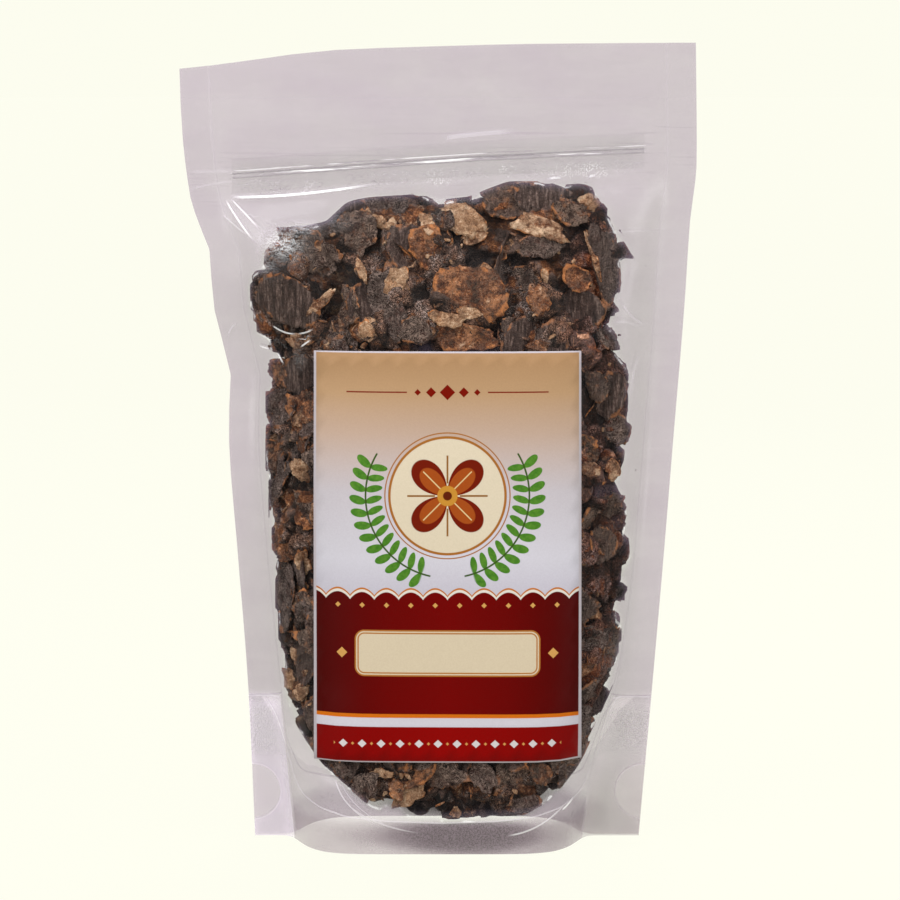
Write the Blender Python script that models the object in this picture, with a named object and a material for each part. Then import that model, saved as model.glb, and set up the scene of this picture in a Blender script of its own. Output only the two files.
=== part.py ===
"""A clear stand-up zip pouch of pressed tamarind pulp, with a paper label on its front.

Metres, +Z up. The pouch stands on the rim of its open base, its front facing -Y, and the
origin is the bottom centre of its box. The film is three welded sheets: a front panel, a
back panel and a folded bottom gusset, whose two halves are welded to the panels below a
U-shaped line. The pulp lies in lumps that have been squeezed together inside.
"""

import math
import random

import bmesh
import bpy
import numpy as np
from mathutils import Matrix, Vector
from mathutils.bvhtree import BVHTree

MM = 0.001

# Film, welds and clearances
FILM = 0.3 * MM
TOUCH = 0.25 * MM
WELD_GAP = 0.15 * MM
FOLD_GAP = 0.25 * MM
OBLIQUE = 1.25
CLEARANCE = 0.8 * MM
LUMP_GAP = 0.9 * MM

# Heights on the flat pouch
POUCH_HEIGHT = 273 * MM
ZIP_HEIGHT = 233 * MM
GUSSET_HEIGHT = 49 * MM
SKIRT_ROWS = (0, 0.35, 0.7, 1)
GUSSET_BEND = 3 * MM

# Outline of the standing pouch: (height, x) of its two welded side edges
LEFT_EDGE = ((0, -63.6), (49, -65.6), (101, -69.1), (144, -71.8), (161, -71.1), (178, -75.6),
             (190, -76.9), (202, -77.4), (212, -81.1), (221, -84.1), (246, -87.0), (266, -87.9))
RIGHT_EDGE = ((0, 69.6), (66, 75.0), (135, 80.5), (186, 84.3), (212, 85.7), (233, 87.8), (273, 87.1))
# (x on the flat pouch, height) of the zip line and the top edge, which both rise to the right
ZIP_LINE = ((-88, 226.9), (-68, 228.2), (-6, 232.8), (14, 234.1), (72, 236.9), (88, 237.2))
TOP_EDGE = ((-88, 264.4), (-70, 266.7), (-35, 270.8), (0, 272.0), (33, 272.8), (88, 273.2))

# (height, value) down the pouch: how far each panel bulges, and how boxy its section is
BULGE = ((0, 28.5), (14, 30.3), (50, 30), (90, 28.2), (130, 25.5), (165, 22), (195, 16.5), (214, 9.5),
         (222, 3.6), (226, 1.7), (241, 1.7), (252, 0.8), (273, 0.1))
BOXINESS = ((0, 8.0), (50, 5.4), (120, 3.4), (190, 3.2), (222, 12.0), (227, 36.0), (240, 36.0), (273, 6.0))
ROUNDING = ((0, 0.85), (50, 0.85), (120, 0.8), (200, 0.8), (230, 0.5), (273, 0.8))
LEFT_WELD = ((0, 14), (50, 11), (90, 10), (273, 10))
RIGHT_WELD = ((0, 20), (25, 18), (60, 11.5), (90, 10), (273, 10))
# How far the gusset's U-shaped seam has risen: (share of the half width, height)
SEAM = ((0, 11), (350, 11.6), (600, 13), (780, 15.5), (880, 18), (940, 21), (1000, 31), (1070, 42), (1150, 49))
# (height, y) that the side welds sway out of the middle plane
LEFT_SWAY = ((0, 0), (60, 1.5), (120, -1.5), (165, 2.5), (198, -4.5), (226, -1.5), (242, -1), (265, 3))
RIGHT_SWAY = ((0, 0), (80, -1.5), (150, 1.5), (220, -1), (273, -3))

# Zip strips
ZIP_ENDS = (-70 * MM, 70 * MM)
TAPE_HALF_HEIGHT = 6 * MM
TAPE = 0.4 * MM
RIB_HALF = 0.5 * MM
GROOVE_HALF = 0.9 * MM
GROOVE_WALL = 0.7 * MM
RIB_REACH = 0.3 * MM
CRUSHED_END = 5 * MM

# Label
LABEL_X = (-41.5 * MM, 48.0 * MM)
LABEL_Z = (32 * MM, 170 * MM)
LABEL_THICKNESS = 0.25 * MM
LABEL_GAP = 0.6 * MM

# Half-round holes punched in the gusset, where the two panels weld to each other
NOTCH_RADIUS = 9.6 * MM
NOTCH_HEIGHT = 15.5 * MM

# Pulp lumps: name, x, z, layer (-1 against the front film, 1 the back, 0 from front to back),
# half width, half height, all in mm, then triangles
LUMPS = (
    ("pulp_top_left", -23, 196, 0, 37, 32, 460),
    ("pulp_top_right", 28, 197, 0, 37, 34, 460),
    ("pulp_side_scrap", -54, 184, 0, 15, 15, 200),
    ("pulp_shoulder_left", -31, 151, -1, 42, 24, 420),
    ("pulp_shoulder_right", 34, 146, -1, 42, 30, 440),
    ("pulp_mid_left", -31, 124, -1, 42, 22, 400),
    ("pulp_mid_right", 35, 96, -1, 42, 28, 440),
    ("pulp_low_left", -29, 94, -1, 42, 22, 400),
    ("pulp_low_right", 34, 60, -1, 40, 20, 400),
    ("pulp_base_left", -28, 62, -1, 42, 24, 420),
    ("pulp_base_right", 26, 35, -1, 40, 20, 400),
    ("pulp_foot_left", -20, 31, -1, 34, 20, 380),
    ("pulp_back_top", 3, 152, 1, 66, 27, 380),
    ("pulp_back_left", -30, 112, 1, 42, 28, 340),
    ("pulp_back_right", 35, 108, 1, 42, 28, 340),
    ("pulp_back_low_left", -27, 67, 1, 42, 28, 340),
    ("pulp_back_low_right", 31, 66, 1, 42, 28, 340),
    ("pulp_back_base", 0, 29, 1, 52, 22, 340),
)
PODS_IN_LUMP = 11
SKIN_START = 150 * MM
CORE_SHARE = 0.86

# Colour with alpha, then roughness
CLEAR_FILM = ((0.80, 0.77, 0.79, 0.3), 0.18)
CLEAR_ZIP = ((0.84, 0.82, 0.84, 0.5), 0.25)
LABEL_PAPER = ((0.62, 0.30, 0.20, 1.0), 0.4)
PULP = ((0.085, 0.060, 0.050, 1.0), 0.45)


def curve_through(knots):
    """A smooth curve through (at, value) knots in mm that never overshoots them, flat past its ends."""
    at = np.array([k[0] for k in knots], float) * MM
    value = np.array([k[1] for k in knots], float) * MM
    secant = np.diff(value) / np.diff(at)
    before, after = secant[:-1], secant[1:]
    same_way = before * after > 0
    mean = 2 * before * after / np.where(same_way, before + after, 1)
    slope = np.concatenate([secant[:1], np.where(same_way, mean, 0), secant[-1:]])

    def curve(x):
        x = np.clip(np.asarray(x, float), at[0], at[-1])
        i = np.clip(np.searchsorted(at, x) - 1, 0, len(at) - 2)
        step = at[i + 1] - at[i]
        t = (x - at[i]) / step
        ease = t * t * (3 - 2 * t)
        start_pull = t * (1 - t) ** 2 * step * slope[i]
        end_pull = t * t * (t - 1) * step * slope[i + 1]
        return value[i] * (1 - ease) + value[i + 1] * ease + start_pull + end_pull

    return curve


left_edge = curve_through(LEFT_EDGE)
right_edge = curve_through(RIGHT_EDGE)
zip_line = curve_through(ZIP_LINE)
top_edge = curve_through(TOP_EDGE)
left_weld = curve_through(LEFT_WELD)
right_weld = curve_through(RIGHT_WELD)
seam_at = curve_through(SEAM)
left_sway = curve_through(LEFT_SWAY)
right_sway = curve_through(RIGHT_SWAY)
bulge = curve_through(BULGE)
boxiness_mm = curve_through(BOXINESS)
rounding_mm = curve_through(ROUNDING)


def smoothstep(low, high, x):
    t = np.clip((np.asarray(x, float) - low) / (high - low), 0, 1)
    return t * t * (3 - 2 * t)


def height_at(flat_x, flat_height):
    """Where a height on the flat pouch ends up, now that the zip and top edge slope."""
    at_zip = zip_line(flat_x) - ZIP_HEIGHT
    at_top = top_edge(flat_x) - POUCH_HEIGHT
    rise = smoothstep(100 * MM, ZIP_HEIGHT, flat_height)
    beyond = smoothstep(ZIP_HEIGHT, POUCH_HEIGHT, flat_height)
    return flat_height + rise * at_zip * (1 - beyond) + beyond * at_top


def flat_height_at(x, z):
    """The height on the flat pouch of a point of the standing one."""
    share = (x - left_edge(z)) / (right_edge(z) - left_edge(z))
    flat_x = (np.clip(share, 0, 1) - 0.5) * 176 * MM
    h = np.asarray(z, float)
    for _ in range(6):
        h = h - (height_at(flat_x, h) - z)
    return h


def across(x, z):
    """-1 to 1 between the inner ends of the side welds, and past them on the welds."""
    low = left_edge(z) + left_weld(z)
    high = right_edge(z) - right_weld(z)
    return (2 * x - low - high) / (high - low)


def half_gap(x, z):
    """Half the space between the two panels' inner faces."""
    h = flat_height_at(x, z)
    u = np.clip(np.abs(across(x, z)), 0, 1)
    section = np.power(1 - np.power(u, boxiness_mm(h) / MM), rounding_mm(h) / MM)
    folded = FOLD_GAP + FILM + TOUCH * OBLIQUE
    welded = folded + (WELD_GAP - folded) * smoothstep(GUSSET_HEIGHT + 3 * MM, GUSSET_HEIGHT + 9 * MM, z)
    return welded + bulge(h) * section


def sway(x, z):
    """How far the pouch's middle plane leaves y = 0."""
    u = np.clip(across(x, z), -1.2, 1.2)
    to_left = np.clip(0.5 - u / 2, 0, 1) ** 2
    to_right = np.clip(0.5 + u / 2, 0, 1) ** 2
    return left_sway(z) * to_left + right_sway(z) * to_right


def seam_height(x):
    """The U-shaped line below which the gusset is welded to the panels."""
    return seam_at(np.abs(across(x, 25 * MM)))


def inner_face(side, x, z):
    return np.stack([x, sway(x, z) + side * half_gap(x, z), z], axis=-1)


def grid_normals(points):
    """Unit normals of a grid of points, from its rows and columns."""
    along = np.gradient(points, axis=1)
    up = np.gradient(points, axis=0)
    normal = np.cross(along, up)
    return normal / np.linalg.norm(normal, axis=2, keepdims=True)


def new_object(name, mesh, look):
    """An object with a material of its own, shaded smooth except at its edges."""
    made = bpy.data.objects.new(name, mesh)
    bpy.context.scene.collection.objects.link(made)
    mesh.shade_smooth()
    mesh.set_sharp_from_angle(angle=math.radians(45))
    colour, roughness = look
    material = bpy.data.materials.new(name)
    material.use_nodes = True
    material.diffuse_color = colour
    shader = material.node_tree.nodes["Principled BSDF"]
    shader.inputs["Base Color"].default_value = (*colour[:3], 1)
    shader.inputs["Alpha"].default_value = colour[3]
    shader.inputs["Roughness"].default_value = roughness
    shader.inputs["Metallic"].default_value = 0
    mesh.materials.append(material)
    return made


def sheet(name, face, other_face, look):
    """A closed thin sheet between two grids of points. Both faces are split into triangles alike."""
    rows, columns = face.shape[:2]
    made = bmesh.new()
    grids = []
    for points in (face, other_face):
        grids.append([[made.verts.new(points[r, c]) for c in range(columns)] for r in range(rows)])
    for grid, flip in zip(grids, (False, True)):
        for r in range(rows - 1):
            for c in range(columns - 1):
                corners = (grid[r][c], grid[r][c + 1], grid[r + 1][c + 1], grid[r + 1][c])
                for triangle in ((0, 1, 2), (0, 2, 3)):
                    order = triangle[::-1] if flip else triangle
                    made.faces.new([corners[i] for i in order])
    rim = [(0, c) for c in range(columns)]
    rim += [(r, columns - 1) for r in range(1, rows)]
    rim += [(rows - 1, c) for c in range(columns - 2, -1, -1)]
    rim += [(r, 0) for r in range(rows - 2, 0, -1)]
    for (r0, c0), (r1, c1) in zip(rim, rim[1:] + rim[:1]):
        made.faces.new((grids[0][r1][c1], grids[0][r0][c0], grids[1][r0][c0], grids[1][r1][c1]))
    bmesh.ops.recalc_face_normals(made, faces=made.faces)
    if made.calc_volume(signed=True) < 0:
        bmesh.ops.reverse_faces(made, faces=made.faces)
    mesh = bpy.data.meshes.new(name)
    made.to_mesh(mesh)
    made.free()
    return new_object(name, mesh, look)


def panel_columns():
    """Shares of the way between the side edges: two steps on each weld, then close steps at the bends."""
    bends = np.sin(np.linspace(-math.pi / 2, math.pi / 2, 15))
    bends[[1, -2]] *= 0.988
    return np.concatenate([[-2.0, -1.6, -1.25], bends, [1.25, 1.6, 2.0]])


def panel_rows():
    low = np.array([0, 6, 12, 20, 30, 41, 50, 56])
    middle = np.arange(67, 205, 12.0)
    high = np.array([209, 216, 222, 227, 233, 239, 247, 260, 273])
    return np.concatenate([low, middle, high]) * MM


def column_x(column, z):
    """x of a column: -2 and 2 are the side edges, -1 and 1 the inner ends of the welds."""
    low, high = left_edge(z) + left_weld(z), right_edge(z) - right_weld(z)
    inner = (low + high) / 2 + np.clip(column, -1, 1) * (high - low) / 2
    weld = np.where(column < 0, left_weld(z), right_weld(z))
    return inner + np.sign(column) * np.clip(np.abs(column) - 1, 0, 1) * weld


def make_panel(name, side):
    columns, rows = panel_columns(), panel_rows()
    flat_x = np.clip(columns, -1.1, 1.1) * 80 * MM
    z = np.stack([height_at(flat_x, h) for h in rows])
    z[0] = 0
    x = column_x(columns[None, :], z)
    inner = inner_face(side, x, z)
    normal = grid_normals(inner) * -side
    normal *= np.sign(normal[..., 1:2] * side)
    level = normal[0, :, :2]
    normal[0, :, :2] = level / np.linalg.norm(level, axis=1, keepdims=True)
    normal[0, :, 2] = 0
    return sheet(name, inner + normal * FILM, inner, CLEAR_FILM)


def skirt_face(side, top, columns):
    """The gusset's face beside one panel, from the rim up to the seam, just clear of the panel."""
    z = np.outer(SKIRT_ROWS, top)
    panel = inner_face(side, column_x(columns[None, :], z), z)
    away = grid_normals(panel)
    away *= -side * np.sign(away[..., 1:2])
    away[..., 2] = 0
    return panel + away / np.linalg.norm(away, axis=2, keepdims=True) * TOUCH


def make_gusset():
    """The folded bottom sheet: up inside the front panel, across under the pulp, down inside the back."""
    columns = panel_columns()
    top = seam_height(column_x(columns, np.full_like(columns, 25 * MM)))
    front, back = (skirt_face(side, top, columns) for side in (-1, 1))
    span = back[-1] - front[-1]
    reach = np.linalg.norm(span, axis=1, keepdims=True) / 2
    bend = np.minimum(reach * 0.8, GUSSET_BEND)
    rise = np.array([0, 0, 1])
    turn = np.radians([30, 60, 90])
    near = [front[-1] + span / (2 * reach) * bend * (1 - np.cos(t)) + rise * bend * np.sin(t) for t in turn]
    far = [back[-1] - span / (2 * reach) * bend * (1 - np.cos(t)) + rise * bend * np.sin(t) for t in turn]
    middle = (near[-1] + far[-1]) / 2
    top_face = np.stack([*front, *near, middle, *far[::-1], *back[::-1]])
    along = np.gradient(top_face, axis=0)
    inward = np.stack([np.zeros_like(along[..., 0]), along[..., 2], -along[..., 1]], axis=-1)
    inward /= np.linalg.norm(inward, axis=2, keepdims=True)
    for end, side in ((0, 1), (-1, -1)):
        inward[end] = (0, side, 0)
    gusset = sheet("pouch_gusset", top_face, top_face + inward * FILM, CLEAR_FILM)
    for side, edge in ((-1, left_edge), (1, right_edge)):
        cut_notch(gusset, float(edge(NOTCH_HEIGHT)), side)
    return gusset


def cut_notch(gusset, edge_x, side):
    bpy.ops.mesh.primitive_cylinder_add(
        vertices=28, radius=NOTCH_RADIUS, depth=24 * MM,
        location=(edge_x, 0, NOTCH_HEIGHT), rotation=(math.pi / 2, 0, 0))
    cutter = bpy.context.object
    cutter.name = "notch_cutter_left" if side < 0 else "notch_cutter_right"
    cutter.hide_render = True
    cutter.display_type = "WIRE"
    cut = gusset.modifiers.new(cutter.name, "BOOLEAN")
    cut.operation = "DIFFERENCE"
    cut.object = cutter


def make_zip_strip(name, side):
    """A flat tape along the inside of one panel, with its rib or its two groove walls."""
    if side < 0:
        ribs = ((-RIB_HALF, RIB_HALF),)
    else:
        ribs = ((-GROOVE_HALF - GROOVE_WALL, -GROOVE_HALF), (GROOVE_HALF, GROOVE_HALF + GROOVE_WALL))
    levels = [-TAPE_HALF_HEIGHT, *(edge for rib in ribs for edge in rib), TAPE_HALF_HEIGHT]
    stations = np.linspace(ZIP_ENDS[0] + CRUSHED_END, ZIP_ENDS[1] - CRUSHED_END, 21)
    made = bmesh.new()
    sections = []
    for x in (ZIP_ENDS[0], *stations, ZIP_ENDS[1]):
        centre_z = float(zip_line(x))
        tape_z = centre_z + np.linspace(-TAPE_HALF_HEIGHT, TAPE_HALF_HEIGHT, 5)
        back = min(half_gap(x + sideways, tape_z).min() for sideways in (-2 * MM, 0, 2 * MM)) - TOUCH
        front = back - TAPE
        from_end = min(x - ZIP_ENDS[0], ZIP_ENDS[1] - x)
        raised = 0.25 + 0.75 * float(smoothstep(0, CRUSHED_END, from_end))
        reach = front + (-RIB_REACH - front) * raised
        section = []
        for depth, heights in ((back, levels), (front, levels), (reach, levels[1:-1])):
            section.append([made.verts.new((
                x, float(sway(x, centre_z + up)) + side * depth, centre_z + up)) for up in heights])
        sections.append(section)
    for section in (sections[0], sections[-1]):
        back_points, front_points, tips = section
        for i in range(len(levels) - 1):
            made.faces.new((back_points[i], back_points[i + 1], front_points[i + 1], front_points[i]))
        for i in range(0, len(tips), 2):
            made.faces.new((front_points[i + 1], front_points[i + 2], tips[i + 1], tips[i]))
    for first, second in zip(sections, sections[1:]):
        for near, far in zip(outline(first), outline(second)):
            made.faces.new((near[0], near[1], far[1], far[0]))
    bmesh.ops.triangulate(made, faces=made.faces)
    bmesh.ops.recalc_face_normals(made, faces=made.faces)
    mesh = bpy.data.meshes.new(name)
    made.to_mesh(mesh)
    made.free()
    return new_object(name, mesh, CLEAR_ZIP)


def outline(section):
    """The pairs of neighbouring points around a strip's section."""
    back_points, front_points, tips = section
    ring = list(back_points[::-1]) + [front_points[0]]
    for i in range(0, len(tips), 2):
        ring += [front_points[i + 1], tips[i], tips[i + 1], front_points[i + 2]]
    ring.append(front_points[-1])
    return list(zip(ring, ring[1:] + ring[:1]))


def make_label():
    x, z = np.meshgrid(np.linspace(*LABEL_X, 13), np.linspace(*LABEL_Z, 17))
    film = inner_face(-1, x, z)
    normal = grid_normals(film)
    normal *= -np.sign(normal[..., 1:2])
    back = film + normal * (FILM + LABEL_GAP)
    return sheet("front_label", back + normal * LABEL_THICKNESS, back, LABEL_PAPER)


class Cell:
    """The space that one lump may fill: inside the film, above the gusset, short of its neighbours."""

    def __init__(self, centres, sizes, index):
        self.centre = centres[index]
        self.walls = []
        for other, size in zip(np.delete(centres, index, axis=0), np.delete(sizes, index)):
            away = other - self.centre
            length = np.linalg.norm(away)
            share = sizes[index] / (sizes[index] + size)
            self.walls.append((away / length, length * share - LUMP_GAP / 2))

    def holds(self, points):
        inside = np.ones(len(points), bool)
        for normal, reach in self.walls:
            inside &= (points - self.centre) @ normal <= reach
        x, y, z = points.T
        for dx, dz in ((0, 0), (CLEARANCE, 0), (-CLEARANCE, 0), (0, CLEARANCE), (0, -CLEARANCE)):
            room = half_gap(x + dx, z + dz) - CLEARANCE
            inside &= np.abs(y - sway(x + dx, z + dz)) <= room
        floor = np.maximum(seam_height(x - 2 * CLEARANCE), seam_height(x + 2 * CLEARANCE))
        return inside & (z >= floor + GUSSET_BEND + CLEARANCE)

    def squeezed(self, points):
        """The points pulled towards the centre until they fit, with the last part pressed flat."""
        ray = points - self.centre
        low, high = np.zeros(len(points)), np.full(len(points), 1.6)
        for _ in range(16):
            middle = (low + high) / 2
            fits = self.holds(self.centre + ray * middle[:, None])
            low, high = np.where(fits, middle, low), np.where(fits, high, middle)
        press_from = 0.82
        reach = 1 / np.maximum(low, 1e-6)
        pressed = press_from + (1 - press_from) * (1 - np.exp(-(reach - press_from) / (1 - press_from)))
        scale = np.where(reach > press_from, pressed / reach, 1.0)
        return self.centre + ray * scale[:, None]


def lump_places():
    """Centres of the lumps, in the middle of their layer, and sizes that share out the room."""
    centres, sizes = [], []
    for _, x, z, layer, half_width, half_height, _ in LUMPS:
        room = float(half_gap(x * MM, z * MM))
        y = float(sway(x * MM, z * MM)) + layer * room * 0.47
        centres.append((x * MM, y, z * MM))
        sizes.append((half_width * half_height) ** 0.5)
    return np.array(centres), np.array(sizes)


def add_pod(into, draw, half_length, half_width, half_thickness, centre, turn, tip):
    """One squashed pod: a flattened, bent spindle."""
    made = bmesh.new()
    bmesh.ops.create_uvsphere(made, u_segments=14, v_segments=9, radius=1)
    bend = draw.uniform(-0.45, 0.45)
    crook = draw.uniform(-0.3, 0.3)
    for vertex in made.verts:
        along, out, up = vertex.co
        blunt = math.copysign(abs(along) ** 0.8, along)
        vertex.co = Vector((
            blunt * half_length,
            out * half_thickness + crook * half_thickness * blunt,
            up * half_width * (1 - 0.25 * blunt * blunt) + bend * half_length * (blunt * blunt - 0.4)))
    spin = Vector((0, 1, 0))
    place = Matrix.Translation(centre) @ Matrix.Rotation(turn, 4, spin) @ Matrix.Rotation(tip, 4, "X")
    bmesh.ops.transform(made, matrix=place, verts=made.verts)
    mesh = bpy.data.meshes.new("pod")
    made.to_mesh(mesh)
    made.free()
    into.from_mesh(mesh)
    bpy.data.meshes.remove(mesh)


def make_lump(index, centres, sizes):
    name, _, _, layer, half_width, half_height, triangles = LUMPS[index]
    draw = random.Random(400 + index)
    centre = Vector(centres[index])
    room = float(half_gap(centre.x, centre.z))
    half_thickness = room * (0.8 if layer else 1.1)
    half_width, half_height = half_width * MM, half_height * MM
    made = bmesh.new()
    bmesh.ops.create_icosphere(made, subdivisions=3, radius=1)
    for vertex in made.verts:
        size = Vector((half_width, half_thickness, half_height)) * CORE_SHARE
        vertex.co = centre + Vector(a * b for a, b in zip(vertex.co, size))
    for pod in range(PODS_IN_LUMP):
        angle = math.tau * (pod + draw.uniform(-0.3, 0.3)) / PODS_IN_LUMP
        spread = draw.uniform(0.5, 0.72)
        place = centre + Vector((
            math.cos(angle) * half_width * spread,
            (1 if pod % 2 else -1) * half_thickness * draw.uniform(0.15, 0.5),
            math.sin(angle) * half_height * spread))
        add_pod(made, draw,
                half_length=draw.uniform(0.42, 0.62) * half_width,
                half_width=draw.uniform(0.30, 0.42) * half_height,
                half_thickness=draw.uniform(0.30, 0.45) * half_thickness,
                centre=place, turn=-angle + draw.uniform(0.5, 1.6), tip=draw.uniform(-0.5, 0.5))
    skin = wrapped(name, made, centre)
    made.free()
    cell = Cell(centres, sizes, index)
    squeeze(skin, cell)
    soften(skin)
    lump = new_object(name, skin, PULP)
    thin = lump.modifiers.new("thin", "DECIMATE")
    thin.ratio = triangles / len(skin.polygons)
    graph = bpy.context.evaluated_depsgraph_get()
    thinned = bpy.data.meshes.new_from_object(lump.evaluated_get(graph))
    squeeze(thinned, cell, only_outside=True)
    lump.modifiers.clear()
    lump.data = thinned
    return lump


def wrapped(name, solids, centre):
    """One skin over overlapping solids: a ball whose points are drawn in to the outermost surface."""
    surface = BVHTree.FromBMesh(solids)
    ball = bmesh.new()
    bmesh.ops.create_icosphere(ball, subdivisions=5, radius=1)
    for vertex in ball.verts:
        start = centre + vertex.co * SKIN_START
        hit = surface.ray_cast(start, -vertex.co)[0]
        vertex.co = hit or centre
    mesh = bpy.data.meshes.new(name)
    ball.to_mesh(mesh)
    ball.free()
    return mesh


def squeeze(mesh, cell, only_outside=False):
    points = np.empty(len(mesh.vertices) * 3)
    mesh.vertices.foreach_get("co", points)
    points = points.reshape(-1, 3)
    moved = cell.squeezed(points)
    if only_outside:
        moved = np.where(cell.holds(points)[:, None], points, moved)
    mesh.vertices.foreach_set("co", moved.ravel())
    mesh.update()


def soften(mesh):
    """Takes off the small teeth that pressing against a wall at a slant leaves."""
    made = bmesh.new()
    made.from_mesh(mesh)
    for _ in range(3):
        bmesh.ops.smooth_vert(
            made, verts=made.verts, factor=0.5, use_axis_x=True, use_axis_y=True, use_axis_z=True)
    made.to_mesh(mesh)
    made.free()


def centre_on_origin(objects):
    """Moves everything by one empty, so that the origin is the bottom centre of the whole box."""
    graph = bpy.context.evaluated_depsgraph_get()
    corners = []
    for obj in objects:
        corners += [obj.evaluated_get(graph).matrix_world @ Vector(c) for c in obj.evaluated_get(graph).bound_box]
    low = Vector(min(c[i] for c in corners) for i in range(3))
    high = Vector(max(c[i] for c in corners) for i in range(3))
    stand = bpy.data.objects.new("stand", None)
    bpy.context.scene.collection.objects.link(stand)
    stand.location = (-(low.x + high.x) / 2, -(low.y + high.y) / 2, -low.z)
    for obj in bpy.data.objects:
        if obj is not stand:
            obj.parent = stand
    bpy.context.view_layer.update()
    print("moved by", tuple(round(v / MM, 3) for v in stand.location), "mm")


def main():
    for obj in list(bpy.data.objects):
        bpy.data.objects.remove(obj)
    made = [
        make_panel("pouch_front_panel", -1),
        make_panel("pouch_back_panel", 1),
        make_gusset(),
        make_zip_strip("zip_strip_rib", -1),
        make_zip_strip("zip_strip_groove", 1),
        make_label(),
    ]
    centres, sizes = lump_places()
    made += [make_lump(index, centres, sizes) for index in range(len(LUMPS))]
    centre_on_origin(made)


main()
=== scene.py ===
import math
import random

import bmesh
import bpy
import numpy as np
from mathutils import Euler, Matrix, Vector, noise
from mathutils.bvhtree import BVHTree


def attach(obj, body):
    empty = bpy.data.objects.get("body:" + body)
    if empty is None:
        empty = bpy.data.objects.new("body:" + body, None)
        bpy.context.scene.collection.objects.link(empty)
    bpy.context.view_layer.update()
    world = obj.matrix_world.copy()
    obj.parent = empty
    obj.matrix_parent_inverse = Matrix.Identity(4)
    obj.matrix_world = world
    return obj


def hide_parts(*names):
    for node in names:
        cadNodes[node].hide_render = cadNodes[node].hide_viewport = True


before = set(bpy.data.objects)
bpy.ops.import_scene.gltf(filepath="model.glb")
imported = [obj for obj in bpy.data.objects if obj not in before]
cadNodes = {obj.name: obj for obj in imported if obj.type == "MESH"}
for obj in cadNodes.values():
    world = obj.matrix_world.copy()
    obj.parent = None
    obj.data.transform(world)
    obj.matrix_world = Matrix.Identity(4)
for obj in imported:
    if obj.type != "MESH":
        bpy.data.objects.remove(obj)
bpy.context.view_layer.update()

mm = 0.001
pulpNodes = sorted(name for name in cadNodes if name.startswith("pulp_"))


# Shader helpers

class Wire:  # a shader socket that can be used in sums
    def __init__(self, tree, socket):
        self.tree = tree
        self.socket = socket

    def maths(self, operation, *others):
        node = self.tree.nodes.new("ShaderNodeMath")
        node.operation = operation
        for slot, value in zip(node.inputs, others):
            feed(self.tree, slot, value)
        return Wire(self.tree, node.outputs[0])

    def __add__(self, other):
        return self.maths("ADD", self, other)

    def __radd__(self, other):
        return self.maths("ADD", other, self)

    def __sub__(self, other):
        return self.maths("SUBTRACT", self, other)

    def __rsub__(self, other):
        return self.maths("SUBTRACT", other, self)

    def __mul__(self, other):
        return self.maths("MULTIPLY", self, other)

    def __rmul__(self, other):
        return self.maths("MULTIPLY", other, self)

    def __truediv__(self, other):
        return self.maths("DIVIDE", self, other)

    def __pow__(self, other):
        return self.maths("POWER", self, other)

    def size(self):  # without its sign
        return self.maths("ABSOLUTE", self)

    def least(self, other):
        return self.maths("MINIMUM", self, other)

    def most(self, other):
        return self.maths("MAXIMUM", self, other)

    def sine(self):
        return self.maths("SINE", self)

    def root(self):
        return self.maths("SQRT", self)

    def repeat(self):  # the part after the decimal point
        return self.maths("FRACT", self)


def feed(tree, slot, value):
    if isinstance(value, Wire):
        tree.links.new(value.socket, slot)
    else:
        slot.default_value = value


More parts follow.
